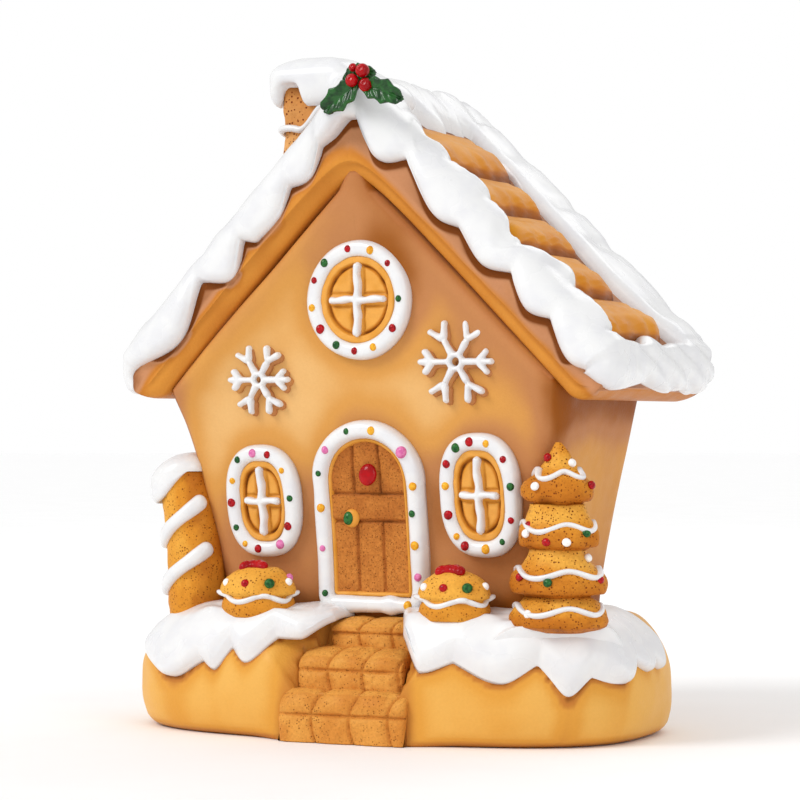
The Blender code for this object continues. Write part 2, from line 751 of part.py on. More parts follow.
def door_outline(inset, count=9):
    """Arched outline of the door frame, drawn in by an inset."""
    half = DOOR_HALF - inset
    spring = DOOR_TOP_Z - DOOR_HALF
    bottom = DOOR_FOOT_Z + inset
    soft = max(7.0 - inset, 1.0)
    points = []
    for k in range(count + 1):
        a = math.pi * k / count
        points.append((DOOR_X + half * math.cos(a), spring + half * math.sin(a)))
    for k in range(1, 4):
        points.append((DOOR_X - half, mix(spring, bottom + soft, k / 4)))
    for side in (-1, 1):
        for k in range(3):
            a = math.radians(45 * k) if side < 0 else math.radians(90 - 45 * k)
            points.append((DOOR_X + side * (half - soft + soft * math.cos(a)),
                           bottom + soft - soft * math.sin(a)))
        if side < 0:
            points.append((DOOR_X, bottom))
    for k in range(3, 0, -1):
        points.append((DOOR_X + half, mix(spring, bottom + soft, k / 4)))
    return points


def make_door():
    frame = wall_band(door_outline(DOOR_FRAME / 2), DOOR_FRAME, DOOR_FRAME_HEIGHT)
    add_solid("door_frame", *frame, "icing", 60)
    inset = DOOR_FRAME + 2 * GAP
    half = DOOR_HALF - inset
    spring = DOOR_TOP_Z - DOOR_HALF

    def half_width(z):
        if z <= spring:
            return half
        return math.sqrt(max(half ** 2 - (z - spring) ** 2, 0.0))

    leaf = wall_plate(half_width, DOOR_FOOT_Z + inset, spring + half, DOOR_X, GAP, DOOR_LEAF, 12)
    add_solid("door_leaf", *leaf, "baked")
    for name, x, z, radii, colour in (("door_candy", 2.6, 92.0, (3.0, 1.8, 3.9), "berry"),
                                      ("door_knob", -6.2, 76.6, (1.8, 1.5, 2.4), "green")):
        y = front_y(z) - DOOR_LEAF - 2 * GAP - radii[1]
        add_solid(name, *ball((x, y, z), radii), colour)


def flake_outline(radius):
    """Outline of a six-armed flake whose arms fork into three short prongs."""
    half, fork, prong, spread = 1.25, 0.55 * radius, 0.36 * radius, math.radians(52)
    branch = Vector((math.cos(spread), math.sin(spread)))
    side = Vector((-branch.y, branch.x))
    root = Vector((fork, 0.0))
    tip = root + branch * prong
    upper = [Vector((radius, half)), Vector((fork + half / math.tan(spread / 2), half)),
             tip - side * half, tip + side * half,
             Vector((fork - half * math.tan(spread / 2), half))]
    lower = [Vector((p.x, -p.y)) for p in upper[::-1]]
    points = []
    for arm in range(6):
        a = math.radians(60 * arm)
        c, s = math.cos(a), math.sin(a)
        for p in [Vector((2.9 * math.cos(-HALF_PI / 3), 2.9 * math.sin(-HALF_PI / 3)))] + lower + upper:
            points.append((p.x * c - p.y * s, p.x * s + p.y * c))
    return points


def make_snowflakes():
    for name, (cx, cz, radius) in SNOWFLAKES.items():
        outline = flake_outline(radius)
        rings = [[on_wall(cx + x, cz + z, lift) for x, z in outline] for lift in (1.1, 3.0)]
        add_solid(f"snowflake_{name}", *loft(rings, flat_ends=True), "icing")


# --- snow, column, bushes and tree -----------------------------------------------

def snow_inner(angle):
    """Distance from the mound's centre to the foot of the walls, plus a clearance."""
    clear = 1.2
    c, s = math.cos(angle), math.sin(angle)
    side = (WALL_FOOT_HALF + clear + (MOUND_CENTRE[0] if c < 0 else -MOUND_CENTRE[0]))
    reach_x = side / max(abs(c), 1e-3)
    reach_y = (FRONT_FOOT_Y + clear + MOUND_CENTRE[1]) / max(abs(s), 1e-3)
    beside_door = abs(MOUND_CENTRE[0] + reach_y * c - DOOR_X) - DOOR_HALF
    room = (DOOR_FRAME_HEIGHT + clear) * smooth(1.0 - (beside_door - clear) / 8.0)
    return min(reach_x, reach_y + room / max(abs(s), 1e-3))


def snow_top(x, y):
    """Height of the mound with its snow, for what stands on it."""
    height = mound_height(x, y)
    slope = math.hypot(mound_height(x + 1, y) - height, mound_height(x, y + 1) - height)
    return height + (SNOW + 7 * GAP) * math.hypot(1.0, slope)


def make_snow():
    columns = 5
    for name, edge in SNOW_EDGE.items():
        first, last = edge[0][0], edge[-1][0]
        rows = 16

        def place(i, j, lift, edge=edge, first=first, last=last, rows=rows):
            lift += 3.0 * GAP
            degrees = mix(first, last, i / (rows - 1))
            angle = math.radians(degrees)
            inset = mound_rim(angle) - snow_inner(angle)
            low = math.radians(follow(edge, degrees))
            if j < columns - 1:
                reach = min(inset / MOUND_SHOULDER, 1.0)
                top = math.acos((1.0 - reach) ** (MOUND_SQUARENESS / 2))
                return mound_point(angle, mix(low, top, j / (columns - 2)), lift)
            return mound_at(angle, snow_inner(angle), mound_height(
                *mound_at(angle, snow_inner(angle), 0.0)[:2]) + lift)

        def thickness(i, j, rows=rows):
            across = 0.4 if j == 0 else 1.0
            along = 0.4 if i in (0, rows - 1) else 1.0
            return SNOW * across * along

        shape = coat(place, rows, columns, thickness, lambda i, j: True)
        add_solid(f"snow_{name}", *shape, "icing", 70)


def make_column(body_cutter):
    levels = [0.0, 0.25, 0.5, 0.75, 1.0]
    count = 14

    def axis(t):
        return COLUMN_FOOT[0] + COLUMN_LEAN * t, COLUMN_FOOT[1]

    rings = []
    for share, t in ((0.2, 0.0), (0.6, 0.0), *((1.0, level) for level in levels)):
        cx, cy = axis(t)
        radius = COLUMN_RADIUS * mix(1.04, 1.0, t) * share
        ring = []
        for a in circle(count):
            x, y = cx + radius * math.cos(a), cy + radius * math.sin(a)
            ring.append((x, y, mix(snow_top(x, y), COLUMN_TOP - 3.0, t)))
        rings.append(ring)
    cx, cy = axis(1.0)
    rings.append([(cx + 7.5 * math.cos(a), cy + 7.5 * math.sin(a), COLUMN_TOP)
                  for a in circle(count)])
    column = add_solid("column", *loft(rings), "biscuit")
    cut(column, body_cutter)

    rings = []
    for shrink, low, high in ((0.6, 1.0, 1.0), (1.08, 1.0, 1.0), (1.08, -8.0, 0.4),
                              (1.22, -8.0, 0.0), (1.12, 0.0, 1.8), (0.8, 3.4, 3.4),
                              (0.4, 4.6, 4.6)):
        ring = []
        for a in circle(count):
            tilt = 0.5 - 0.5 * math.cos(a - math.radians(200))
            z = COLUMN_TOP + mix(low, high, tilt)
            ring.append((cx + COLUMN_RADIUS * shrink * math.cos(a),
                         cy + COLUMN_RADIUS * shrink * math.sin(a), z))
        rings.append(ring)
    cap = add_solid("column_cap", *loft(rings), "icing", 70)
    cut(cap, body_cutter)

    for number, low in enumerate((52.0, 69.0), 1):
        path = []
        for k in range(9):
            turn = math.radians(mix(188, 318, k / 8))
            z = low + 18.0 * k / 8
            t = (z - 45.0) / (COLUMN_TOP - 45.0)
            cx, cy = axis(t)
            out = Vector((math.cos(turn), math.sin(turn), 0.0))
            radius = COLUMN_RADIUS * 1.04 + 0.4
            path.append(((cx + radius * out.x, cy + radius * out.y, z), tuple(out)))
        stripe = add_solid(f"column_stripe_{number}", *piping(path, 2.6, 2.2, False, GAP),
                           "icing", 70)
        cut(stripe, body_cutter)


def bun_ring(centre, radius, z_of, count):
    ring = []
    for a in circle(count):
        x = centre[0] + radius * math.cos(a)
        y = centre[1] + TREE_DEPTH * radius * math.sin(a)
        ring.append((x, y, z_of(x, y)))
    return ring


def wavy_piping(centre, radius, height, sway):
    """Zigzag line piped round a bun or a tier, all the way round, near height(x, y)."""
    path, waves = [], 5
    for k, a in enumerate(circle(4 * waves)):
        x = centre[0] + radius * math.cos(a)
        y = centre[1] + TREE_DEPTH * radius * math.sin(a)
        level = height(x, y) + sway * math.sin(HALF_PI * k)
        path.append(((x, y, level), (math.cos(a), math.sin(a) * TREE_DEPTH, 0.35)))
    return piping(path, 0.9, 1.3, True, 0.8)


def make_bushes(body_cutter):
    for name, (x, y, half) in BUSHES.items():
        centre = (x, y)
        profile = ((0.15, 0.0), (0.45, 0.0), (0.8, 0.0), (0.97, 0.16), (1.0, 0.38),
                   (0.86, 0.7), (0.55, 0.92), (0.2, 1.0))
        rings = []
        for share, rise in profile:
            height = (lambda px, py, rise=rise: mix(snow_top(px, py), BUSH_TOP, rise))
            rings.append(bun_ring(centre, half * share, height, 12))
        add_solid(f"bush_{name}_body", *loft(rings), "baked")
        line = wavy_piping(centre, half + 0.3, lambda px, py: mix(
            snow_top(px, py), BUSH_TOP, 0.38), 1.1)
        cut(add_solid(f"bush_{name}_piping", *line, "icing", 70), body_cutter)
        jelly = ball((x, y, BUSH_TOP + 1.9), (4.8, 3.2, 1.4))
        add_solid(f"bush_{name}_jelly", *jelly, "berry")


def make_tree(body_cutter):
    for number, (low, high, skirt, neck) in enumerate(TREE_TIERS, 1):
        rings = []
        for t, share in ((0.0, 0.72), (0.14, 0.98), (0.3, 1.0), (0.55, 0.66), (0.8, 0.3),
                         (1.0, 0.0)):
            radius = neck + (skirt - neck) * share
            level = mix(low, high, t)
            height = (lambda px, py, level=level: level)
            if number == len(TREE_TIERS):
                radius = mix(skirt, neck, t)
                height = (lambda px, py, t=t, high=high: mix(snow_top(px, py), high, t))
                if t == 0.0:
                    rings += [bun_ring(TREE_AT, radius * inner, snow_top, 12)
                              for inner in (0.15, 0.5)]
            rings.append(bun_ring(TREE_AT, radius, height, 12))
        tier = add_solid(f"tree_tier_{number}", *loft(rings), "baked")
        cut(tier, body_cutter)
        share, start = (0.8, lambda px, py, low=low: low)
        if number == len(TREE_TIERS):
            share, start = (0.72, snow_top)
        line = wavy_piping(TREE_AT, mix(neck, skirt, share) + 0.6, lambda px, py, start=start,
                           high=high: mix(start(px, py), high, 0.45), 0.6)
        ring = add_solid(f"tree_piping_{number}", *line, "icing", 70)
        cut(ring, body_cutter)


def main():
    for item in list(bpy.data.objects):
        bpy.data.objects.remove(item, do_unlink=True)
    body_cutter = make_body()
    make_mound(body_cutter)
    make_steps()
    make_roof_slab()
    make_courses()
    make_roof_icing()
    make_chimney()
    make_holly()
    make_window("window_round", ROUND_WINDOW, 2.0)
    make_window("window_left", LEFT_WINDOW, 2.6)
    make_window("window_right", RIGHT_WINDOW, 2.6)
    make_door()
    make_snowflakes()
    make_snow()
    make_column(body_cutter)
    make_bushes(body_cutter)
    make_tree(body_cutter)


main()
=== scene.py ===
"""Looks of the gingerbread house ornament: a painted resin casting with glossy icing.

Lengths are in millimetres in the part's own frame: +Z is up and the front faces -Y.
Angles in tables are in degrees. Every surface follows the solids' own surfaces, and is
made finer here: icing with lobes and drips, crumbly tiles, planks, bricks and candy.
"""
import itertools
import math

import bmesh
import bpy
import numpy as np
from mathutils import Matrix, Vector, kdtree


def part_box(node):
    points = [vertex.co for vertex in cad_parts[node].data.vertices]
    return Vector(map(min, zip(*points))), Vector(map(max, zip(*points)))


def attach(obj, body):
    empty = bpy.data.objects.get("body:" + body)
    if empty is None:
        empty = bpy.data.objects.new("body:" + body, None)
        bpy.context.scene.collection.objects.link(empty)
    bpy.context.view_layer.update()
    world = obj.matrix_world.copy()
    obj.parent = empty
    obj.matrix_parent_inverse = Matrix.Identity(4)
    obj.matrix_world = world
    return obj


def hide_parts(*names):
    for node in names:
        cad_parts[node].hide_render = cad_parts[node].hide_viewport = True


MM = 0.001
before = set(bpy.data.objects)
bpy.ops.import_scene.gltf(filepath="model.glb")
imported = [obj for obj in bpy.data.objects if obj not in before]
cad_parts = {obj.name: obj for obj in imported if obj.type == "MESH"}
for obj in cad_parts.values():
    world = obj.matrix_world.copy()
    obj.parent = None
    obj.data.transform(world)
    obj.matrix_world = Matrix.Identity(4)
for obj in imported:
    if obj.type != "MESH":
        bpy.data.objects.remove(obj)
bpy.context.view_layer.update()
bpy.context.scene.view_settings.view_transform = "Standard"


def node_box(node):
    """Lowest and highest corner of a solid, in millimetres."""
    low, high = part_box(node)
    return np.array(low) / MM, np.array(high) / MM


# --- sizes shared with the solids ------------------------------------------------

MOUND_CENTRE = (-3.0, 1.0)
MOUND_HALF = (98.5, 58.0)
MOUND_SQUARENESS = 2.8
MOUND_TOP = node_box("base_mound")[1][2]
MOUND_WAIST = 13.0
MOUND_SHOULDER = 24.0
MOUND_UNDERCUT = 8.0

WALL_FOOT_HALF = 61.5
WALL_FLARE = 14.5
WALL_FLARE_RISE = 74.0
FRONT_FOOT_Y = 31.0
FRONT_LEAN = 11.0
FRONT_LEAN_FROM = 45.0
FRONT_LEAN_RISE = 95.0
BACK_WALL_Y = node_box("house_body")[1][1]
WALL_CORNER = 9.0

roof_low, roof_high = node_box("roof_slab")
RIDGE_Z = roof_high[2]
RIDGE_ROUND = 8.0
SOFFIT_APEX_Z = 197.5
SOFFIT_ARCH = 7.0
SLOPE_OUT = {-1: 1.10, 1: 1.03}
SLOPE_IN = {-1: 1.02, 1: 0.985}
EAVE_OUT_X = {-1: 88.5, 1: 93.0}
EAVE_IN_X = {-1: 74.5, 1: 79.0}
EAVE_BULGE = 8.0
ROOF_MID_Y = (roof_low[1] + roof_high[1]) / 2
ROOF_HALF_DEPTH = (roof_high[1] - roof_low[1]) / 2
ROOF_EDGE_ROUND = 6.0

COURSE_LIPS = (46.5, 66.4, 86.0, 107.5, 129.0)
RIDGE_ICING_HALF = 17.0
EAVE_ICING_FROM = 130.5

# the piped drape on the front verge: (distance from the ridge, depth) of each lobe
# and of each notch between two lobes
FRONT_DRAPE = {
    -1: ((0, 7), (10, 10.5), (17, 9.5), (24, 15.5), (37, 10), (45, 15), (58, 13), (66, 7.5),
         (75, 14), (91, 3.5), (111, 11.5), (132, 4.5), (150, 7.5), (170, 6)),
    1: ((0, 7), (6, 6), (16, 15), (32, 5.5), (50, 13), (63, 8.5), (76, 11.5), (90, 5.2),
        (102, 10), (112, 5.8), (127, 11), (137, 7), (150, 8), (170, 6)),
}
# upper border of the front icing on the right slope: (distance from the ridge, y)
FRONT_BORDER = ((15, -24), (22, -27), (36, -41), (49, -35), (57, -37), (69, -34),
                (82, -43), (94, -36), (101, -29), (112, -32), (126, -39), (135, -30))
BACK_BORDER = ((14, 16), (20, 24), (32, 26), (53, 21), (78, 19), (95, 17), (116, 22),
               (130, 27))


# --- numbers ---------------------------------------------------------------------

def mix(a, b, t):
    return a + (b - a) * t


def smooth(t):
    t = np.clip(t, 0.0, 1.0)
    return t * t * (3.0 - 2.0 * t)


def rounded(t):
    """Quarter of a circle: 0 at the border, steep first, 1 from t = 1 on."""
    return np.sqrt(1.0 - (1.0 - np.clip(t, 0.0, 1.0)) ** 2)


def halo(distance, reach):
    """1 next to something, fading out with distance."""
    return np.exp(-(np.maximum(distance, 0.0) / reach) ** 2)


def segment(table, x):
    xs, values = np.array(table, float).T
    k = np.clip(np.searchsorted(xs, x) - 1, 0, len(xs) - 2)
    return values[k], values[k + 1], np.clip((x - xs[k]) / (xs[k + 1] - xs[k]), 0.0, 1.0)


def follow(table, x):
    """Smooth curve through a short table of (x, value)."""
    start, end, t = segment(table, x)
    return mix(start, end, smooth(t))


def drips(table, x, hang=1):
    """Curve through lobes and notches, round at each lobe and sharp at each notch."""
    start, end, t = segment(table, x)
    falling = hang * (end - start) > 0
    quarter = np.where(falling, np.sin(t * math.pi / 2), 1.0 - np.cos(t * math.pi / 2))
    return mix(start, end, mix(smooth(t), quarter, 0.75))


def noise(points, size, seed=0):
    """Smooth random lumps of about the given size, from -1 to 1."""
    spot = np.asarray(points, float) / size + 31.7 * (seed + 1)
    cell = np.floor(spot).astype(np.int64)
    part = smooth(spot - cell)
    total = np.zeros(spot.shape[:-1])
    for corner in itertools.product((0, 1), repeat=3):
        key = (cell + corner) @ np.array((7919, 104729, 1299709)) % 65521
        value = np.sin(key * 78.233 + seed) * 43758.5453
        weight = np.prod(np.where(np.array(corner) > 0, part, 1.0 - part), axis=-1)
        total += weight * (value - np.floor(value))
    return 2.0 * total - 1.0


def stack(*parts):
    return np.stack(np.broadcast_arrays(*parts), axis=-1)


def unit(vectors):
    return vectors / np.maximum(np.linalg.norm(vectors, axis=-1, keepdims=True), 1e-9)


# --- meshes ----------------------------------------------------------------------

def grid_quads(rows, columns, ring=False):
    """Faces of a grid of points, closed round its columns if ring is true."""
    j = np.arange(columns if ring else columns - 1)
    i, j = np.meshgrid(np.arange(rows - 1), j, indexing="ij")
    a, b = i * columns + j, i * columns + (j + 1) % columns
    return np.stack((a, b, b + columns, a + columns), axis=-1).reshape(-1, 4)


def tube(points):
    """Closed skin of a stack of rings, with a fan over each end."""
    rows, columns = points.shape[:2]
    faces = grid_quads(rows, columns, ring=True).tolist()
    verts = points.reshape(-1, 3)
    hubs = np.stack((points[0].mean(axis=0), points[-1].mean(axis=0)))
    for hub, first in ((len(verts), 0), (len(verts) + 1, (rows - 1) * columns)):
        faces += [(first + k, first + (k + 1) % columns, hub) for k in range(columns)]
    return np.concatenate((verts, hubs)), faces


def hoop(points):
    """Closed skin of rings that run round a loop."""
    rows, columns = points.shape[:2]
    faces = grid_quads(rows + 1, columns, ring=True) % (rows * columns)
    return points.reshape(-1, 3), faces.tolist()


def layer(base, out, full, rim=5.0, seat=0.5, keep=None):
    """Closed coat on a grid of surface points, rounded down to its borders."""
    rows, columns = base.shape[:2]
    quads = grid_quads(rows, columns)
    if keep is not None:
        quads = quads[keep.reshape(-1)]
    edges = np.concatenate([quads[:, (k, (k + 1) % 4)] for k in range(4)])
    code, back = edges @ np.array((rows * columns, 1)), edges @ np.array((1, rows * columns))
    border = edges[~np.isin(code, back)]
    used, where = np.unique(quads, return_inverse=True)
    quads = where.reshape(quads.shape)
    border = np.searchsorted(used, border)
    flat, lift = base.reshape(-1, 3)[used], out.reshape(-1, 3)[used]
    tree = kdtree.KDTree(len(border))
    for number, vertex in enumerate(border[:, 0]):
        tree.insert(flat[vertex], number)
    tree.balance()
    distance = np.array([tree.find(point)[2] for point in flat])
    height = np.broadcast_to(full, base.shape[:2]).reshape(-1)[used]
    top = flat + lift * (height * rounded(distance / rim))[:, None]
    bottom = flat - lift * seat
    count = len(used)
    sides = np.stack((border[:, 1], border[:, 0], border[:, 0] + count,
                      border[:, 1] + count), axis=-1)
    faces = np.concatenate((quads, quads[:, ::-1] + count, sides))
    return np.concatenate((top, bottom)), faces.tolist()


def bead(path, out, half, height, closed=False, seat=0.6, fullness=2.0, around=10):
    """A piped line of rounded section along a path on a surface."""
    path, out = np.asarray(path, float), unit(np.asarray(out, float))
    if closed:
        along = np.roll(path, -1, axis=0) - np.roll(path, 1, axis=0)
    else:
        along = np.gradient(path, axis=0)
    side = unit(np.cross(along, out))
    half, height = np.broadcast_to(half, len(path)), np.broadcast_to(height, len(path))
    if not closed:
        steps = np.linalg.norm(np.diff(path, axis=0), axis=1)
        reach = np.concatenate(([0.0], np.cumsum(steps)))
        end = rounded(np.minimum(reach, reach[-1] - reach) / half.mean() + 0.06)
        half, height = half * end, height * end
    turn = np.linspace(math.pi, 0.0, around)
    across = np.sign(np.cos(turn)) * np.abs(np.cos(turn)) ** (2.0 / fullness)
    up = np.sin(turn) ** (2.0 / fullness)
    across, up = np.append(across, (0.8, -0.8)), np.append(up, (0.0, 0.0))
    sunk = np.append(np.zeros(around), (seat, seat))
    rings = (path[:, None] + side[:, None] * (half[:, None] * across)[..., None]
             + out[:, None] * (height[:, None] * up - sunk)[..., None])
    return hoop(rings) if closed else tube(rings)


def blobs(centres, outs, radii, around=14, levels=8):
    """Many small rounded drops in one skin: radii are (width, height, out)."""
    tilt = np.linspace(-math.pi / 2, math.pi / 2, levels + 1)[1:-1]
    turn = np.linspace(0.0, 2 * math.pi, around, endpoint=False)
    parts = []
    for centre, out, radius in zip(centres, outs, radii):
        out = unit(np.asarray(out, float))
        across = unit(np.cross((0.0, 0.0, 1.0), out) + (1e-6, 0.0, 0.0))
        up = np.cross(out, across)
        ring = (across * np.cos(turn)[:, None] * radius[0]
                + up * np.sin(turn)[:, None] * radius[1])
        points = np.array([centre + ring * math.cos(t) + out * math.sin(t) * radius[2]
                           for t in tilt])
        parts.append(tube(points))
    return join(parts)


def join(parts):
    """Several skins as one list of points and faces."""
    verts, faces, first = [], [], 0
    for points, skin in parts:
        verts.append(points)
        faces += [tuple(v + first for v in face) for face in skin]
        first += len(points)
    return np.concatenate(verts), faces


def build(name, verts, faces):
    mesh = bpy.data.meshes.new(name)
    mesh.from_pydata((np.asarray(verts) * MM).tolist(), [], faces)
    work = bmesh.new()
    work.from_mesh(mesh)
    bmesh.ops.recalc_face_normals(work, faces=work.faces[:])
    work.to_mesh(mesh)
    work.free()
    return mesh


def melt(parts, voxel, passes=4):
    """One soft skin round parts that run into each other, like icing that has set."""
    lump = bpy.data.objects.new("melting", build("melting", *join(parts)))
    bpy.context.scene.collection.objects.link(lump)
    remesh = lump.modifiers.new("one_skin", "REMESH")
    remesh.mode = "VOXEL"
    remesh.voxel_size = voxel * MM
    soften = lump.modifiers.new("soften", "SMOOTH")
    soften.factor = 0.6
    soften.iterations = passes
    ready = lump.evaluated_get(bpy.context.evaluated_depsgraph_get())
    mesh = bpy.data.meshes.new_from_object(ready)
    verts = np.empty(len(mesh.vertices) * 3)
    mesh.vertices.foreach_get("co", verts)
    faces = [tuple(face.vertices) for face in mesh.polygons]
    bpy.data.objects.remove(lump, do_unlink=True)
    bpy.data.meshes.remove(mesh)
    return verts.reshape(-1, 3) / MM, faces


def add_piece(name, shape, material, nodes, shade=None, sharp=None):
    """A piece of the casting: shade(points, normals) is its brown airbrushing mixed with painted shade and
    painted shadows, 0..1.

    nodes lists the solids it stands for, which are hidden; a piece that stands for none gives a material
    slot's name instead, which is not used.
    """
    verts, faces = shape
    mesh = build(name, verts, faces)
    mesh.shade_smooth()
    if sharp:
        mesh.set_sharp_from_angle(angle=math.radians(sharp))
    if shade is not None:
        normals = np.empty(len(mesh.vertices) * 3)
        mesh.vertices.foreach_get("normal", normals)
        if callable(shade):
            shade = shade(np.asarray(verts), normals.reshape(-1, 3))
        brown = mesh.attributes.new("shade", "FLOAT", "POINT")
        brown.data.foreach_set("value", np.clip(shade, 0.0, 1.0).astype(np.float32))
    piece = bpy.data.objects.new(name, mesh)
    mesh.materials.append(material)
    bpy.context.scene.collection.objects.link(piece)
    if isinstance(nodes, str):
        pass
    else:
        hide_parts(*nodes)
    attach(piece, "root")
    return piece


# --- paints ----------------------------------------------------------------------

def colour(red, green, blue):
    """Linear colour of an 8-bit screen colour."""
    parts = [part / 255.0 for part in (red, green, blue)]
    return tuple(p / 12.92 if p <= 0.04045 else ((p + 0.055) / 1.055) ** 2.4
                 for p in parts) + (1.0,)


class Nodes:
    """Short ways to add and link shader nodes."""

    def __init__(self, name):
        self.material = bpy.data.materials.new(name)
        self.material.use_nodes = True
        self.tree = self.material.node_tree
        self.shader = self.tree.nodes["Principled BSDF"]
        self.place = self.add("TexCoord").outputs["Object"]

    def add(self, kind, inputs=(), **settings):
        made = self.tree.nodes.new("ShaderNode" + kind)
        for key, value in settings.items():
            setattr(made, key, value)
        for socket, value in dict(inputs).items():
            self.plug(value, made.inputs[socket])
        return made

    def plug(self, value, socket):
        if isinstance(value, bpy.types.NodeSocket):
            self.tree.links.new(value, socket)
        else:
            socket.default_value = value

    def noise(self, size, detail=3.0, place=None):
        """Noise whose lumps are about the given size."""
        made = self.add("TexNoise", {"Vector": place or self.place, "Scale": 1.0 / (size * MM),
                                     "Detail": detail, "Roughness": 0.55})
        return made.outputs["Fac"]

    def math(self, operation, a, b=0.0):
        return self.add("Math", {0: a, 1: b}, operation=operation).outputs[0]

    def remap(self, value, low, high, to_low=0.0, to_high=1.0):
        made = self.add("MapRange", {"Value": value, "From Min": low, "From Max": high,
                                     "To Min": to_low, "To Max": to_high})
        return made.outputs["Result"]

    def blend(self, factor, a, b):
        made = self.add("Mix", {0: factor, 6: a, 7: b}, data_type="RGBA")
        return made.outputs[2]

    def ramp(self, factor, stops):
        made = self.add("ValToRGB", {"Fac": factor})
        made.color_ramp.interpolation = "EASE"
        elements = made.color_ramp.elements
        while len(elements) < len(stops):
            elements.new(0.5)
        for element, (place, tint) in zip(elements, stops):
            element.position = place
            element.color = tint
        return made.outputs["Color"]

    def finish(self, tint, roughness, height, strength, distance, coat=0.0):
        bump = self.add("Bump", {"Height": height, "Strength": strength,
                                 "Distance": distance * MM})
        self.plug(tint, self.shader.inputs["Base Color"])
        self.plug(roughness, self.shader.inputs["Roughness"])
        self.plug(bump.outputs["Normal"], self.shader.inputs["Normal"])
        self.shader.inputs["Coat Weight"].default_value = coat
        self.shader.inputs["Coat Roughness"].default_value = 0.25
        return self.material


def biscuit(name, stops, pores=0.0, pore_size=1.2, cover=0.25, pit=(112, 58, 18), gloss=0.45,
            coat=0.0, shine=0.07, grit=0.05):
    """Painted biscuit: brown airbrushing and painted shade by the shade attribute, with pores and grain."""
    n = Nodes(name)
    # the shade attribute holds airbrush brown together with painted shade
    brushed_and_shaded = n.add("Attribute", attribute_name="shade").outputs["Fac"]
    cloud = n.remap(n.noise(20.0, 2.0), 0.3, 0.7, -0.05, 0.05)
    tint = n.ramp(n.math("ADD", brushed_and_shaded, cloud), stops)
    grain = n.noise(0.9, 2.0)
    tint = n.blend(n.remap(grain, 0.35, 0.75, 0.0, grit), tint, stops[-1][1])
    height = n.remap(grain, 0.3, 0.7, 0.0, 0.25)
    rough = n.remap(n.noise(6.0), 0.3, 0.7, gloss - 0.07, gloss + 0.09)
    if pores:
        cells = n.add("TexVoronoi", {"Vector": n.place, "Scale": 1.0 / (pore_size * MM),
                                     "Randomness": 1.0})
        where = n.remap(n.noise(7.0, 2.0), 0.42, 0.6, cover, 1.0)
        size = n.add("SeparateColor", {"Color": cells.outputs["Color"]}).outputs[0]
        edge = n.math("MULTIPLY", size, 0.46)
        pit_mask = n.remap(n.math("SUBTRACT", edge, cells.outputs["Distance"]), 0.0, 0.12)
        pit_mask = n.math("MULTIPLY", n.math("MULTIPLY", pit_mask, where), pores)
        tint = n.blend(pit_mask, tint, colour(*pit))
        height = n.math("SUBTRACT", height, pit_mask)
    n.shader.inputs["Specular IOR Level"].default_value = shine
    return n.finish(tint, rough, height, 0.5, 0.35, coat)


def glossy(name, bright, dark, size, roughness=0.13, bump=0.1, coat=0.0, shine=0.22):
    """Gloss paint, darker in soft patches where it pooled."""
    n = Nodes(name)
    tint = n.ramp(n.noise(size, 2.0), ((0.35, dark), (0.62, bright)))
    rough = n.remap(n.noise(size * 1.7), 0.3, 0.7, roughness - 0.05, roughness + 0.1)
    n.shader.inputs["Specular IOR Level"].default_value = shine
    return n.finish(tint, rough, n.noise(size * 0.8, 2.0), bump, 0.4, coat)


ICING_PAINT = glossy("icing_paint", colour(230, 230, 230), colour(224, 224, 226), 9.0, 0.24,
                     0.08, 0.35, 0.5)
WALL_PAINT = biscuit("wall_paint", (
    (0.0, colour(228, 180, 116)), (0.3, colour(213, 152, 78)), (0.6, colour(189, 128, 80)),
    (1.0, colour(150, 84, 26))))
ROOF_PAINT = biscuit("roof_paint", (
    (0.0, colour(216, 144, 58)), (0.35, colour(198, 124, 46)), (0.65, colour(195, 136, 95)),
    (1.0, colour(118, 60, 16))), gloss=0.42, coat=0.03, shine=0.08)
BASE_PAINT = biscuit("base_paint", (
    (0.0, colour(230, 176, 90)), (0.35, colour(219, 155, 64)), (0.7, colour(190, 120, 50)),
    (1.0, colour(140, 80, 28))), gloss=0.4, coat=0.06)
TILE_PAINT = biscuit("tile_paint", (
    (0.0, colour(222, 150, 40)), (0.4, colour(205, 128, 28)), (0.75, colour(170, 96, 22)),
    (1.0, colour(116, 60, 14))), gloss=0.4, coat=0.02, shine=0.1, grit=0.0)
PANE_PAINT = biscuit("pane_paint", (
    (0.0, colour(230, 164, 76)), (0.4, colour(218, 148, 54)), (0.8, colour(178, 108, 34)),
    (1.0, colour(128, 72, 20))), gloss=0.4, coat=0.12)
CRUMB_STOPS = ((0.0, colour(236, 174, 72)), (0.4, colour(216, 142, 46)),
               (0.75, colour(190, 112, 32)), (1.0, colour(140, 76, 20)))
CRUMB_PAINT = biscuit("crumb_paint", CRUMB_STOPS, pores=0.95, pore_size=0.85, cover=0.5,
                      pit=(120, 54, 14), grit=0.2)
TREE_PAINT = biscuit("tree_paint", CRUMB_STOPS, pores=1.0, pore_size=0.85, cover=1.0,
                     pit=(120, 54, 14), grit=0.3)
SHAFT_PAINT = biscuit("shaft_paint", (
    (0.0, colour(226, 168, 104)), (0.5, colour(206, 140, 76)), (1.0, colour(140, 78, 26))),
    pores=1.0, pore_size=1.15, cover=1.0, pit=(120, 50, 16), grit=0.2)
STEP_PAINT = biscuit("step_paint", (
    (0.0, colour(224, 158, 74)), (0.4, colour(206, 133, 56)), (0.75, colour(178, 104, 42)),
    (1.0, colour(126, 66, 22))), pores=0.8, pore_size=0.75, cover=0.3,
                     grit=0.25)
DOOR_PAINT = biscuit("door_paint", (
    (0.0, colour(202, 128, 58)), (0.5, colour(180, 106, 46)), (1.0, colour(112, 58, 20))),
    pores=0.85, pore_size=0.62, cover=1.0, grit=0.4)
LEAF_PAINT = glossy("leaf_paint", colour(34, 92, 34), colour(16, 56, 20), 3.0, 0.16, 0.15, 0.3)
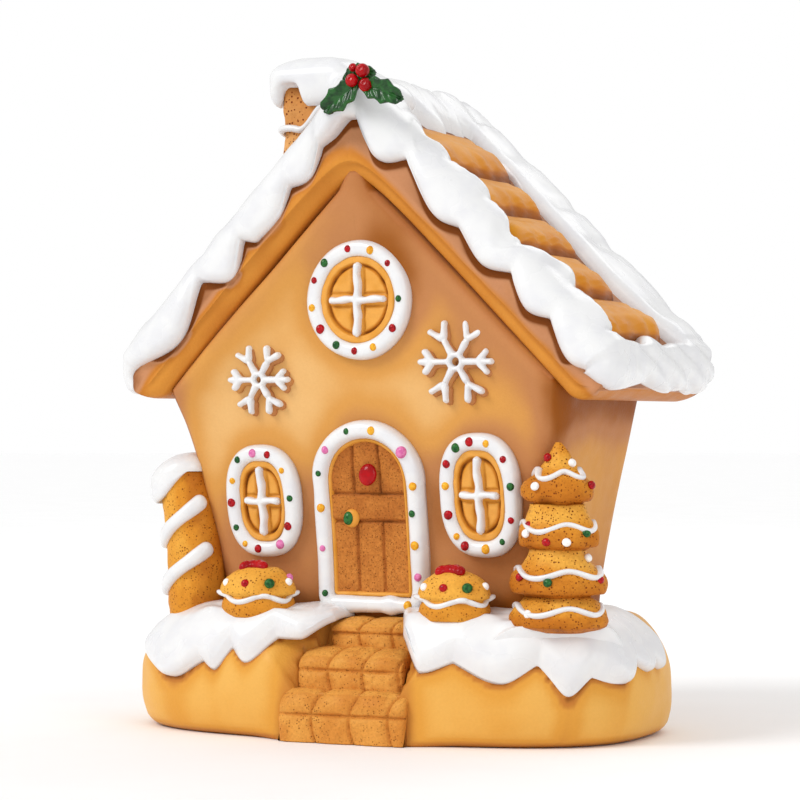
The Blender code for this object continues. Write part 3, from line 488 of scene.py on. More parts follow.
BERRY_PAINT = glossy("berry_paint", colour(178, 6, 16), colour(146, 2, 10), 5.0, 0.12, 0.03)
CANDY_PAINTS = {
    "red": glossy("candy_red", colour(182, 12, 24), colour(136, 6, 16), 1.2),
    "green": glossy("candy_green", colour(44, 106, 48), colour(22, 70, 34), 1.2),
    "yellow": glossy("candy_yellow", colour(240, 180, 48), colour(224, 150, 30), 1.2),
    "pink": glossy("candy_pink", colour(226, 130, 182), colour(206, 100, 158), 1.2),
    "white": glossy("candy_white", colour(252, 250, 246), colour(236, 234, 232), 1.2),
}


# --- studio ----------------------------------------------------------------------

CAMERA_TURN = math.radians(25.0)
CAMERA_DISTANCE = 1.0
CAMERA_HEIGHT = 0.110
CAMERA_LENS = 124.2
CAMERA_SHIFT = (-0.0125, 0.02875)


def make_studio():
    """Level camera about a metre away and 25 degrees round to the right, soft lights."""
    camera = bpy.data.objects.new("camera", bpy.data.cameras.new("camera"))
    camera.location = (CAMERA_DISTANCE * math.sin(CAMERA_TURN),
                       -CAMERA_DISTANCE * math.cos(CAMERA_TURN), CAMERA_HEIGHT)
    camera.rotation_euler = (math.pi / 2, 0.0, CAMERA_TURN)
    camera.data.lens = CAMERA_LENS
    camera.data.sensor_width = 36.0
    camera.data.shift_x, camera.data.shift_y = CAMERA_SHIFT
    camera.data.clip_start = 0.01
    bpy.context.scene.collection.objects.link(camera)
    bpy.context.scene.camera = camera

    middle = Vector((0.0, 0.0, 0.11))
    for name, kind, place, size, power in (("key", "SUN", (-0.75, -1.05, 1.15), 0.4, 1.3),
                                           ("fill", "AREA", (1.35, -0.9, 0.7), 0.9, 3.5),
                                           ("back", "AREA", (0.2, 1.2, 1.1), 0.9, 2.0)):
        lamp = bpy.data.lights.new(name, kind)
        if kind == "SUN":
            lamp.angle = size
        else:
            lamp.shape = "DISK"
            lamp.size = size
        lamp.energy = power
        light = bpy.data.objects.new(name, lamp)
        light.location = place
        light.rotation_euler = (middle - light.location).to_track_quat("-Z", "Y").to_euler()
        bpy.context.scene.collection.objects.link(light)

    world = bpy.data.worlds.new("white_room")
    world.use_nodes = True
    bpy.context.scene.world = world
    tree = world.node_tree
    glow = tree.nodes["Background"]
    glow.inputs["Color"].default_value = (1.0, 1.0, 1.0, 1.0)
    path = tree.nodes.new("ShaderNodeLightPath")
    level = tree.nodes.new("ShaderNodeMapRange")
    level.inputs["To Min"].default_value = 0.77
    level.inputs["To Max"].default_value = 1.0
    tree.links.new(path.outputs["Is Camera Ray"], level.inputs["Value"])
    tree.links.new(level.outputs["Result"], glow.inputs["Strength"])

    turns = np.linspace(0.0, 2 * math.pi, 96, endpoint=False)
    rings = np.array([stack(reach * np.cos(turns), reach * np.sin(turns), -0.2)
                      for reach in (1.0, 400.0, 1500.0, 9000.0)])
    verts, faces = rings.reshape(-1, 3), grid_quads(4, 96, ring=True).tolist()
    table = Nodes("table_paper")
    pale = table.ramp(table.noise(60.0), ((0.3, colour(252, 252, 252)),
                                          (0.7, colour(254, 254, 254))))
    table.finish(pale, 0.7, table.noise(3.0), 0.05, 0.2)
    floor = bpy.data.objects.new("floor", build("floor", verts, faces))
    floor.data.materials.append(table.material)
    bpy.context.scene.collection.objects.link(floor)


# --- mound -----------------------------------------------------------------------

def mound_rim(angle):
    """Distance from the mound's centre to its widest line."""
    c = np.abs(np.cos(angle)) / MOUND_HALF[0]
    s = np.abs(np.sin(angle)) / MOUND_HALF[1]
    return (c ** MOUND_SQUARENESS + s ** MOUND_SQUARENESS) ** (-1.0 / MOUND_SQUARENESS)


def mound_at(angle, reach, z):
    return stack(MOUND_CENTRE[0] + reach * np.cos(angle),
                 MOUND_CENTRE[1] + reach * np.sin(angle), z)


def mound_shoulder(angle, rise):
    """Point and outward direction on the shoulder: rise 0 is the waist, pi / 2 the top."""
    power = 2.0 / MOUND_SQUARENESS
    c, s = np.clip(np.cos(rise), 0.0, 1.0), np.sin(rise)
    inset = MOUND_SHOULDER * (1.0 - c ** power)
    z = MOUND_WAIST + (MOUND_TOP - MOUND_WAIST) * s ** power
    out = stack(c * np.cos(angle), c * np.sin(angle), s)
    return mound_at(angle, mound_rim(angle) - inset, z), out


def mound_height(x, y):
    dx, dy = x - MOUND_CENTRE[0], y - MOUND_CENTRE[1]
    inset = mound_rim(np.arctan2(dy, dx)) - np.hypot(dx, dy)
    reach = np.clip(1.0 - inset / MOUND_SHOULDER, 0.0, 0.97)
    rise = (1.0 - reach ** MOUND_SQUARENESS) ** (1.0 / MOUND_SQUARENESS)
    return MOUND_WAIST + (MOUND_TOP - MOUND_WAIST) * rise


def end_sag(x):
    """How far the top of the mound slopes down towards its left and right ends."""
    return 5.0 * smooth((-60.0 - x) / 30.0) + 5.0 * smooth((x - 76.0) / 20.0)


STEPS = [node_box(f"step_{number}") for number in (1, 2, 3)]


def beside_steps(x):
    """Distance from the flight of steps, to its left or right."""
    low, high = STEPS[0][0][0] + 3.0, STEPS[0][1][0] - 2.0
    return np.maximum(np.maximum(low - x, x - high), 0.0)


def snow_line(angle):
    """Height of the snow's lower edge on the mound's side, or None where it has none."""
    turn = np.degrees(angle)
    line = np.full(np.shape(angle), 90.0)
    for edge in SNOW_EDGE.values():
        inside = (turn >= edge[0][0]) & (turn <= edge[-1][0])
        line = np.where(inside, drips(edge, turn, hang=-1), line)
    return line


# lower edge of each snow patch: (angle round the mound, height on its side), where a
# height of 0 is the waist and 90 is the top
SNOW_EDGE = {
    "left": ((-163, 52), (-144, 7), (-135.5, 19), (-132, 14), (-127.5, 31), (-122.5, 20),
             (-114, 43), (-106, 42), (-97, 72)),
    "right": ((-65, 50), (-60, 18), (-51, 26), (-40.5, 12), (-33, 24), (-27.5, 5), (-22.5, 16),
              (-14.5, 11), (-10, 29), (-4.5, 19), (-2, 27), (1.5, 19), (5, 45)),
}


def base_shade(points, normals):
    """Painted shade under the snow's edge, beside the steps, at the foot and below the walls."""
    x, y, z = points.T
    angle = np.arctan2(y - MOUND_CENTRE[1], x - MOUND_CENTRE[0])
    power = MOUND_SQUARENESS / 2.0
    level = np.clip((z - MOUND_WAIST) / (MOUND_TOP - MOUND_WAIST), 0.0, 1.0) ** power
    rise = np.degrees(np.arcsin(level))
    below = snow_line(angle) - rise
    brown = 0.45 * halo(np.where(below > -4, below, 90.0), 9.0)
    brown += 0.5 * halo(np.abs(below - 1.0), 2.2)
    gap = beside_steps(x)
    brown = np.maximum(brown, 0.5 * halo(gap, 7.0) * (y < STEPS[2][1][1] + 2.0))
    brown = np.maximum(brown, 0.55 * halo(z, 2.5))
    gap = np.hypot(np.maximum(np.abs(x) - WALL_FOOT_HALF, 0.0),
                   np.maximum(np.maximum(-FRONT_FOOT_Y - y, y - BACK_WALL_Y), 0.0))
    brown = np.maximum(brown, 0.8 * halo(gap, 7.0) * smooth((z - 30.0) / 12.0))
    return brown + 0.1 + 0.1 * noise(points, 30.0, 3)


def make_mound():
    angle = np.linspace(-math.pi, math.pi, 300, endpoint=False)
    widest = mound_at(angle, mound_rim(angle), MOUND_WAIST)
    undercut = MOUND_UNDERCUT * (1.0 - halo(beside_steps(widest[:, 0]), 16.0) * (widest[:, 1] < 0))
    rings = []
    for inset, z in ((1.0, 0.0), (0.8, 0.4), (0.6, 1.2), (0.45, 2.2), (0.3, 3.6), (0.2, 5.4),
                     (0.1, 7.5), (0.03, 10.0)):
        rings.append(mound_at(angle, mound_rim(angle) - inset * undercut, z))
    for rise in np.radians(np.linspace(0.0, 88.0, 26)):
        rings.append(mound_shoulder(angle, rise)[0])
    for share in np.linspace(0.96, 0.05, 18):
        reach = (mound_rim(angle) - MOUND_SHOULDER) * share
        rings.append(mound_at(angle, reach, MOUND_TOP))
    points = np.array(rings)
    swell = 0.7 * noise(points, 26.0, 1) + 0.25 * noise(points, 9.0, 2)
    held = smooth(points[..., 2] / 10.0) * smooth((MOUND_TOP + 1 - points[..., 2]) / 6.0)
    out = unit(points - (MOUND_CENTRE[0], MOUND_CENTRE[1], 20.0))
    points += out * ((swell - 0.85) * held)[..., None]
    points[..., 2] -= end_sag(points[..., 0]) * smooth((points[..., 2] - 16.0) / 22.0)
    # the mound comes down in a soft slope to both sides of the steps
    x, y, z = points[..., 0], points[..., 1], points[..., 2]
    corners = [(low[1], low[2]) for low, high in STEPS[1:]] + [(-33.0, MOUND_TOP)]
    flight = np.interp(y, [-61.0] + [c[0] for c in corners], [14.0] + [c[1] for c in corners])
    limit = flight + 1.0 + 1.3 * beside_steps(x) + np.where(y > -32.0, 90.0, 0.0)
    soft = 2.0
    eased = -soft * np.log(np.exp(-np.minimum(z, 60.0) / soft) + np.exp(-limit / soft))
    z[:] = np.where(z > 8.0, np.minimum(z, np.maximum(eased, 6.0)), z)
    for low, high in STEPS:
        room = (x > low[0] + 3.5) & (x < high[0] - 2.5) & (y < high[1] + 1.0)
        z[room & (z > high[2] - 1.5)] = high[2] - 1.5
    verts, faces = tube(points)
    add_piece("mound", (verts, faces), BASE_PAINT, ["base_mound"], base_shade)


# --- walls -----------------------------------------------------------------------

def front_y(z):
    return -(FRONT_FOOT_Y + FRONT_LEAN * smooth((z - FRONT_LEAN_FROM) / FRONT_LEAN_RISE))


def on_wall(x, z, lift=0.0):
    return stack(x, front_y(z) - lift, z)


def wall_half(z):
    rise = np.maximum(z - MOUND_TOP, 0.0) / WALL_FLARE_RISE
    return WALL_FOOT_HALF + WALL_FLARE * rise ** 1.25


def soffit_half(z, side):
    return (SOFFIT_APEX_Z + SOFFIT_ARCH / 2 - z) / SLOPE_IN[side]


def wall_shade(points, normals):
    """Brown airbrushing mixed with painted shade: below the roof, round windows and door, down at the
    mound, and on the side and back walls.
    """
    x, y, z = points.T
    brown = np.full(len(x), 0.06) + 0.06 * noise(points, 30.0, 5)
    slope = np.where(x < 0, SLOPE_IN[-1], SLOPE_IN[1])
    front = smooth((-normals[:, 1] - 0.3) / 0.5)
    below = (SOFFIT_APEX_Z - slope * np.abs(x) - z) / np.hypot(1.0, slope)
    right = smooth((x + 16.0) / 34.0)
    reach, strength = mix(8.0, 19.0, right), mix(0.3, 0.5, right)
    # painted shade under the roof's front edge, wider and deeper on the right, and under its apex
    brown += strength * halo(below - 2.0, reach) * front
    brown += 0.25 * halo(np.hypot(x - 4.0, 0.7 * (z - 186.0)), 26.0) * front
    # brown round the icing rings and the door frame, partly a painted shadow set down and to the right
    for frame_node, strength, reach in (("window_round_ring", 0.3, 6.0),
                                        ("window_left_ring", 0.35, 6.0),
                                        ("window_right_ring", 0.45, 7.0),
                                        ("door_frame", 0.4, 7.0)):
        low, high = node_box(frame_node)
        centre, half = (low + high) / 2, (high - low) / 2
        near = np.hypot((x - centre[0] - 0.8) / half[0], (z - centre[2] + 1.0) / half[2])
        gap = (near - 1.0) * min(half[0], half[2])
        brown += strength * halo(gap, reach) * front
    # brown round the flakes, partly a painted shadow set down and to the right
    for flake in ("snowflake_left", "snowflake_right"):
        low, high = node_box(flake)
        centre = (low + high) / 2
        gap = np.hypot(x - centre[0] - 1.0, z - centre[2] + 1.0)
        brown += 0.16 * halo(gap, 11.0) * front
    # darker towards the bottom, and painted shade where the wall meets the mound
    low_down = smooth((92.0 - z) / 42.0)
    brown += front * low_down * (0.2 + 0.1 * noise(points, 16.0, 8))
    brown += 0.6 * halo(z - MOUND_TOP, 12.0)
    # painted shade along both edges of the front and round its corners
    edge = wall_half(z) - np.abs(x)
    brown += front * 0.28 * halo(edge - 3.0, 7.0)
    corner = (1.0 - front) * halo(np.abs(y - front_y(z) - 5.0), 6.0)
    brown += 0.25 * corner
    # painted shade on the side walls, deepest under the eaves
    flank = smooth((np.abs(normals[:, 0]) - 0.5) / 0.4)
    brown += flank * (0.27 + 0.65 * halo(118.0 - z, 12.0) + 0.1 * low_down)
    # painted shade on the back wall, deepest under the roof
    brown += 0.25 * smooth((normals[:, 1] - 0.3) / 0.5) * (0.6 + halo(below, 14.0))
    return brown


def make_walls():
    levels = np.concatenate((np.arange(MOUND_TOP - 6.0, 118.0, 1.6), np.arange(118.0, 198.0, 1.3)))
    rings = []
    for z in levels:
        left = min(wall_half(z), max(soffit_half(z + 0.5, -1), 1.0))
        right = min(wall_half(z), max(soffit_half(z + 0.5, 1), 1.0))
        corner = min(WALL_CORNER, 0.45 * (left + right))
        near, far = front_y(z), BACK_WALL_Y
        ring = []
        for cx, cy, start in ((-left + corner, near + corner, 180.0),
                              (right - corner, near + corner, 270.0),
                              (right - corner, far - corner, 0.0),
                              (-left + corner, far - corner, 90.0)):
            turn = np.radians(start + np.linspace(0.0, 90.0, 9))
            ring.append(stack(cx + corner * np.cos(turn), cy + corner * np.sin(turn), z))
        loop = []
        for k, count in enumerate((84, 36, 60, 36)):
            loop.append(ring[k])
            ends = ring[k][-1], ring[(k + 1) % 4][0]
            share = np.linspace(0.0, 1.0, count + 2)[1:-1, None]
            loop.append(mix(ends[0], ends[1], share))
        rings.append(np.concatenate(loop))
    points = np.array(rings)
    centre = points.mean(axis=1, keepdims=True)
    out = unit((points - centre) * (1.0, 1.4, 0.0))
    points += out * (0.35 * noise(points, 22.0, 4) - 0.3)[..., None]
    # the front curves out to meet the underside of the roof
    x, y, z = points[..., 0], points[..., 1], points[..., 2]
    slope = np.where(x < 0, SLOPE_IN[-1], SLOPE_IN[1])
    below = (SOFFIT_APEX_Z - slope * (np.hypot(x, 12.0) - 7.0) - z) / np.hypot(1.0, slope)
    y -= 5.8 * halo(below - 2.0, 12.0) * smooth((front_y(z) + 7.0 - y) / 5.0)
    add_piece("walls", tube(points), WALL_PAINT, ["house_body"], wall_shade)


# --- roof slab -------------------------------------------------------------------

def slope_length(side):
    return EAVE_OUT_X[side] * math.hypot(1.0, SLOPE_OUT[side])


def roof_section(run):
    """Upper point and direction into the slab, at distances from the ridge.

    Past the end of the slope the distance goes on round the eave, as an angle in
    degrees added to the slope's length. Negative distances are on the left.
    """
    run = np.asarray(run, float)
    side = np.where(run < 0, -1.0, 1.0)

    def pick(table):
        return np.where(run < 0, table[-1], table[1])

    length = pick({-1: slope_length(-1), 1: slope_length(1)})
    share = np.minimum(np.abs(run) / length, 1.0)
    ox, ix = share * pick(EAVE_OUT_X), share * pick(EAVE_IN_X)
    outer = stack(side * ox, RIDGE_Z - pick(SLOPE_OUT) * (np.hypot(ox, RIDGE_ROUND) - RIDGE_ROUND))
    arch = np.hypot(ix, SOFFIT_ARCH * (1.0 - share)) - 0.5 * SOFFIT_ARCH * (1.0 - share)
    inner = stack(side * ix, SOFFIT_APEX_Z - pick(SLOPE_IN) * arch)
    thick = np.linalg.norm(inner - outer, axis=-1)
    inward = unit(inner - outer)
    angle = np.radians(np.maximum(np.abs(run) - length, 0.0))[..., None]
    onward = stack(-inward[..., 1] * side, inward[..., 0] * side)
    radius = (thick / 2)[..., None]
    spoke = -inward * radius * np.cos(angle) + onward * EAVE_BULGE * np.sin(angle)
    past = (np.abs(run) > length)[..., None]
    top = np.where(past, (outer + inner) / 2 + spoke, outer)
    into = np.where(past, unit(-spoke), inward)
    return top, into, np.where(past[..., 0], radius[..., 0], thick)


def roof_surface(run, along):
    """Point and outward direction on the slab; along wraps over the front and back edge."""
    top, inward, _ = roof_section(run)
    sign = np.where(along < 0, -1.0, 1.0)
    flat = ROOF_HALF_DEPTH - ROOF_EDGE_ROUND
    turn = np.clip((np.abs(along) - flat) / ROOF_EDGE_ROUND, 0.0, None)
    bend = np.minimum(turn, math.pi / 2)
    y = sign * (np.minimum(np.abs(along), flat) + ROOF_EDGE_ROUND * np.sin(bend))
    depth = ROOF_EDGE_ROUND * (1.0 - np.cos(bend) + turn - bend)
    place = top + inward * depth[..., None]
    up = np.cos(bend)
    point = stack(place[..., 0], ROOF_MID_Y + y, place[..., 1])
    out = stack(-inward[..., 0] * up, sign * np.sin(bend), -inward[..., 1] * up)
    return point, out


def edge_along(depth):
    """Distance from mid depth at which the wrapped edge has gone down by depth."""
    flat = ROOF_HALF_DEPTH - ROOF_EDGE_ROUND
    bend = np.arccos(np.clip(1.0 - depth / ROOF_EDGE_ROUND, 0.0, 1.0))
    return flat + ROOF_EDGE_ROUND * bend + np.maximum(depth - ROOF_EDGE_ROUND, 0.0)


def roof_shade(points, under):
    """Brown by the icing with a painted shadow along its edge, orange on the lower roll, and painted shade
    on the roll's lower edge, the eave ends and the hidden faces; under is the distance below the icing.
    """
    x, y, z = points.T
    share = np.abs(x) / np.where(x < 0, EAVE_OUT_X[-1], EAVE_OUT_X[1])
    slope = np.where(x < 0, SLOPE_OUT[-1], SLOPE_OUT[1])
    below = (RIDGE_Z - slope * (np.hypot(x, RIDGE_ROUND) - RIDGE_ROUND) - z) / np.hypot(1, slope)
    border = mix(13.0, 16.5, smooth((x + 16.0) / 32.0))
    upper = smooth((border - below) / 5.0)
    brown = mix(0.14, 0.66, upper)
    # painted shade on the roll's lower edge, where it turns under
    brown += 0.35 * smooth((below - 20.0) / 5.0) * (share < 0.9)
    # painted shade towards the eave ends
    brown += 0.25 * smooth((share - 0.9) / 0.1)
    # painted shadow along the icing's lower edge
    brown += 0.66 * halo(np.abs(under - 0.9), 1.5)
    # painted shade on the hidden faces: dark on the top, seen between the tiles and the icing, and on the
    # eave ends; the underside a lighter brown
    inside = (np.abs(y - ROOF_MID_Y) < ROOF_HALF_DEPTH - 3.0)
    brown = np.where(inside, np.where(below > 8.0, 0.35, 0.8), brown)
    brown = np.where(inside & (share > 0.99), 0.8, brown)
    return brown + 0.12 * noise(points, 12.0, 6)


ROOF_ROLL_FROM = 10.5


def make_roof():
    """Slab with a flat upper fascia and a fuller roll along its lower border."""
    half = []
    for side in (-1, 1):
        length = slope_length(side)
        runs = np.concatenate((np.linspace(0.0, length, 170), length + np.linspace(8, 84, 9)))
        half.append(side * runs)
    runs = np.concatenate((half[0][::-1], half[1][1:]))
    side = np.where(runs < 0, -1.0, 1.0)
    top, inward, thick = roof_section(runs)
    length = np.where(runs < 0, slope_length(-1), slope_length(1))
    past = np.abs(runs) > length
    turn = np.radians(np.where(past, np.abs(runs) - length, 0.0))
    # past the eave the section closes in on the bulge, from above and from below
    spare = np.where(past, 2.0 * thick * np.cos(turn), thick)
    ends = np.where(side < 0, -length, length)
    into = np.where(past[:, None], roof_section(ends)[1], inward)
    hang = np.where(runs < 0, drips(FRONT_DRAPE[-1], -runs), drips(FRONT_DRAPE[1], runs))
    rings, under = [], []
    for k in range(len(runs)):
        deep = spare[k]
        soft = min(ROOF_EDGE_ROUND, 0.49 * deep)
        reach = ROOF_HALF_DEPTH - soft
        arc = np.linspace(0.0, math.pi / 2, 6)
        flat = np.linspace(-reach, reach, 34)[1:-1]
        face = np.linspace(soft, deep - soft, 34)[1:-1]
        swell = np.clip((face - ROOF_ROLL_FROM) / max(deep - ROOF_ROLL_FROM, 1.0), 0.0, 1.0)
        roll = 2.2 * smooth(swell / 0.55) * rounded((1.0 - swell) / 0.5)
        roll = np.where(face > ROOF_ROLL_FROM, roll, 0.0) * (deep > ROOF_ROLL_FROM + 2)
        low_y, low_d = reach + soft * np.cos(arc), deep - soft + soft * np.sin(arc)
        high_y, high_d = reach + soft * np.sin(arc), soft - soft * np.cos(arc)
        ys = np.concatenate((flat, high_y, ROOF_HALF_DEPTH + roll * 0.5, low_y, -flat,
                             -low_y[::-1], -(ROOF_HALF_DEPTH + roll)[::-1], -high_y[::-1]))
        ds = np.concatenate((0 * flat, high_d, face, low_d, 0 * flat + deep,
                             low_d[::-1], face[::-1], high_d[::-1]))
        place = top[k] + into[k] * ds[:, None]
        rings.append(stack(place[:, 0], ROOF_MID_Y + ys, place[:, 1]))
        fade = 5.0 * smooth((abs(runs[k]) - length[k] + 9.0) / 8.0)
        under.append(np.where((ys < -reach) & ~past[k], ds - hang[k] + fade, 90.0))
    points = np.array(rings)
    points += (0.0, 1.0, 0.0) * (0.25 * noise(points, 14.0, 7))[..., None]
    verts, faces = tube(points)
    marks = roof_shade(verts, np.append(np.concatenate(under), (90.0, 90.0)))
    add_piece("roof", (verts, faces), ROOF_PAINT, ["roof_slab"], marks)


# --- tiles -----------------------------------------------------------------------

COURSE_PROFILE = ((0.0, 1.0), (0.2, 2.6), (0.45, 4.2), (0.66, 5.2), (0.8, 5.2), (0.9, 4.4),
                  (0.97, 2.9), (1.02, 1.2), (1.05, 0.4))


def course_ends(side, number):
    scale = slope_length(side) / slope_length(1)
    upper = RIDGE_ICING_HALF + 3.0 if number == 1 else COURSE_LIPS[number - 2] * scale
    return upper, COURSE_LIPS[number - 1] * scale


def course_lift(run):
    """Height of the tiles above the slab, along the middle of a slope."""
    lift = np.zeros(np.shape(run))
    for number in range(1, len(COURSE_LIPS) + 1):
        upper, lip = course_ends(1, number)
        t = (np.abs(run) - upper) / (lip - upper)
        height = follow(COURSE_PROFILE, t)
        lift = np.where((t > 0.0) & (t <= 1.0), height, lift)
    return lift


def front_border(run):
    """How far back the front icing reaches on top of the slope."""
    line = follow(FRONT_BORDER, np.abs(run))
    return np.where(run < 0, 0.35 * (line + 34.0) - 35.0, line) - ROOF_MID_Y


def back_border(run):
    return follow(BACK_BORDER, np.abs(run)) - ROOF_MID_Y


def make_tiles():
    """Thick overlapping loaves of tiles with crumbly lower lips."""
    ends = (20.0, 14.0, 12.0, 8.0, 19.0)
    for side, name in ((1, "right"), (-1, "left")):
        for number, end in enumerate(ends, 1):
            upper, lip = course_ends(side, number)
            across = np.concatenate((np.linspace(0.0, 0.58, 16), np.linspace(0.6, 1.05, 34)))
            t, share = np.meshgrid(across, np.linspace(0.0, 1.0, 96), indexing="ij")
            run = side * mix(upper, lip, t)
            near = np.maximum(front_border(run) - 6.0, 8.0 - ROOF_HALF_DEPTH)
            if side < 0 and number == 1:
                near = 0 * near + node_box("chimney")[1][1] - ROOF_MID_Y
            far = end - ROOF_MID_Y + 1.5 * np.sin(run / 3.0 + number)
            along = mix(near, far, share)
            height = follow(COURSE_PROFILE, t)
            spot = stack(run, along, 9.0 * number + 2.0 * height)
            lip_zone = smooth((t - 0.6) / 0.3)
            run = run + side * 1.1 * lip_zone * noise(spot * (0.0, 1.0, 0.0), 12.0, number)
            point, out = roof_surface(run, along)
            # the lower lip is pressed into a row of rounded crimps
            crimp = 0.5 + 0.5 * np.cos(along / 2.1 + 0.8 * np.sin(along / 7.0 + number))
            height -= 1.1 * crimp * smooth((t - 0.6) / 0.25)
            height += 0.9 * noise(spot * (1.0, 0.55, 1.0), 9.0, 11) * np.minimum(height / 5.0, 1.0)
            height = np.maximum(height, 0.4) * mix(0.1, 1.0, rounded((far - along) / 7.0))
            height = height * rounded((along - near) / 7.0 + 0.02)

            # painted shade in the crease under the course above and under the lip's edge, darker towards
            # the lip, and a painted shadow at the far end under the icing
            brown = 0.1 + 0.6 * halo(t - 0.02, 0.1) + 0.12 * noise(spot, 12.0, 13)
            brown += 0.16 * smooth((t - 0.6) / 0.2)
            brown += smooth((t - 0.85) / 0.1) * (0.1 + 0.5 * halo(height - 1.9, 1.6))
            brown += 0.5 * halo(far - along, 1.6)
            shape = layer(point, out, height, rim=1.2, seat=0.6)
            add_piece(f"roof_tiles_{name}_{number}", shape, TILE_PAINT,
                      [f"roof_course_{name}_{number}"], np.tile(brown.reshape(-1), 2))


# --- roof icing ------------------------------------------------------------------

# lower border of the icing over the ridge on the right: (y, how far beyond its line)
RIDGE_DRIPS = ((-34, 0), (-16, -3), (-6, 7.5), (2, -0.5), (10, 0.5), (17, 5.0), (25, 1.0),
               (40, 2.0))
EAVE_HEM = ((-58, 70), (-42, 88), (-16, 72), (12, 90), (24, 82), (38, 94), (60, 62))


def ease_ends(count):
    """Shares from 0 to 1, closer together at both ends."""
    t = np.linspace(0.0, 1.0, count)
    return mix(t, 0.5 - 0.5 * np.cos(math.pi * t), 0.8)


def make_roof_icing():
    slope_rows, eave_rows = 104, 16
    front, middle, back = 34, 44, 20
    half = []
    for side in (-1, 1):
        length = slope_length(side)
        window = EAVE_ICING_FROM * length / slope_length(1)
        runs = np.concatenate((np.linspace(0.0, RIDGE_ICING_HALF, 16),
                               np.linspace(RIDGE_ICING_HALF, window, slope_rows)[1:],
                               np.linspace(window, length, 8)[1:],
                               length + ease_ends(eave_rows)[1:]))
        half.append((side * runs, window, length))
    runs = np.concatenate((half[0][0][::-1], half[1][0][1:]))
    side = np.where(runs < 0, -1.0, 1.0)
    window = np.where(runs < 0, half[0][1], half[1][1])
    length = np.where(runs < 0, half[0][2], half[1][2])

    reach = np.minimum(np.abs(runs), length)
    hang = np.where(runs < 0, drips(FRONT_DRAPE[-1], reach), drips(FRONT_DRAPE[1], reach))
    behind = 8.0 + 2.5 * np.sin(runs / 4.5) + 1.5 * np.sin(runs / 2.7)
    past = np.abs(runs) > length
    beyond = smooth((np.abs(runs) - length) / 0.7)
    hang = mix(hang, np.where(runs < 0, 2.0, 8.0), beyond)
    behind = mix(behind, 5.0, beyond)
    near, far = front_border(runs), back_border(runs)
    share = ease_ends(front + 1)
    columns = [mix(-edge_along(hang), near, t) for t in share]
    columns += [mix(near, far, t) for t in np.linspace(0.0, 1.0, middle + 1)[1:]]
    columns += [mix(far, edge_along(behind), t) for t in ease_ends(back + 1)[1:]]
    along = np.stack(columns, axis=1)
    run = np.broadcast_to(np.abs(runs)[:, None], along.shape).copy()
    j = np.arange(along.shape[1])
    inner = smooth((j - front) / 5.0) * smooth((front + middle - j) / 5.0)
    y = along + ROOF_MID_Y
    low_border = drips(RIDGE_DRIPS, y)
    pull = smooth(run / RIDGE_ICING_HALF) * smooth((46.0 - run) / 26.0)
    run += inner * pull * low_border
    eave_wave = 1.6 * np.sin(y / 5.0) + 1.0 * np.sin(y / 2.9 + 1.0)
    run += inner * eave_wave * halo(np.abs(run - window[:, None]), 7.0)
    # past the slope the rows share out the hem's angle round the eave
    over = np.clip(np.abs(runs) - length, 0.0, 1.0)[:, None]
    run = np.where(past[:, None], length[:, None] + over * drips(EAVE_HEM, y), run)

    open_slope = (np.abs(runs) > RIDGE_ICING_HALF) & (np.abs(runs) < window)
    keep = np.ones((len(runs) - 1, along.shape[1] - 1), bool)
    mid_run = np.abs(runs[:-1] + runs[1:]) / 2
    open_rows = (mid_run > RIDGE_ICING_HALF) & (mid_run < (window[:-1] + window[1:]) / 2)
    keep[np.ix_(open_rows, (j[:-1] >= front) & (j[:-1] < front + middle))] = False

    point, out = roof_surface(side[:, None] * run, along)
    on_slope = smooth((along + ROOF_HALF_DEPTH - 2.0) / 6.0) * (j <= front)
    beside = smooth(1.0 - (near[:, None] - along) / 14.0)
    tiles = course_lift(run) * on_slope * beside * (run < window[:, None])
    point = point + out * (0.95 * tiles)[..., None]

    full = mix(7.6, 5.2, smooth(run / 20.0)) + 3.0 * halo(run, 15.0) * smooth((52.0 - y) / 14.0)
    full = full * (1.0 + 0.12 * noise(point, 16.0, 21) + 0.015 * noise(point, 6.0, 22))
    # the far band lies in lobes, and folds run over the ridge behind the holly
    lobe = np.abs(np.sin(math.pi * (run - 8.0) / 26.0 + 0.5 * np.sin(run / 11.0)))
    full = full * mix(1.0, 0.84 + 0.26 * smooth(lobe * 1.2),
                      smooth((y - 24.0) / 10.0) * open_slope[:, None])
    fold = np.abs(np.sin(math.pi * (y + 4.0 + 0.35 * run) / 22.0))
    full = full * mix(1.0, 0.84 + 0.2 * smooth(fold * 1.4), smooth((y + 8.0) / 14.0) * halo(run, 20.0))
    # thinner beside the tiles
    beside = (j > front // 2) & (j <= front) & open_slope[:, None]
    full = full * np.where(beside, mix(1.0, 0.62, smooth(1.0 - (near[:, None] - along) / 9.0)), 1.0)
    crease = np.abs(np.sin(math.pi * (y - 0.5 * (run - window[:, None]) + 6.0) / 21.0))
    roped = smooth((run - window[:, None] - 2.0) / 8.0) * smooth((y + 34.0) / 20.0)
    full = full * mix(1.0, mix(0.72, 1.03, smooth(crease * 1.2)), roped)
    full = full * mix(1.0, 0.74, smooth((run - length[:, None]) / 25.0))
    shape = layer(point, out, full, rim=4.6, seat=1.0, keep=keep)
    add_piece("roof_icing_piped", shape, ICING_PAINT, ["roof_icing"])


# --- chimney ---------------------------------------------------------------------

def chimney_outline(low, high, grow, turn):
    centre, half = (low + high) / 2, (high - low) / 2 + grow
    c, s = np.abs(np.cos(turn)) / half[0], np.abs(np.sin(turn)) / half[1]
    reach = (c ** 7 + s ** 7) ** (-1.0 / 7.0)
    return centre[0] + reach * np.cos(turn), centre[1] + reach * np.sin(turn)


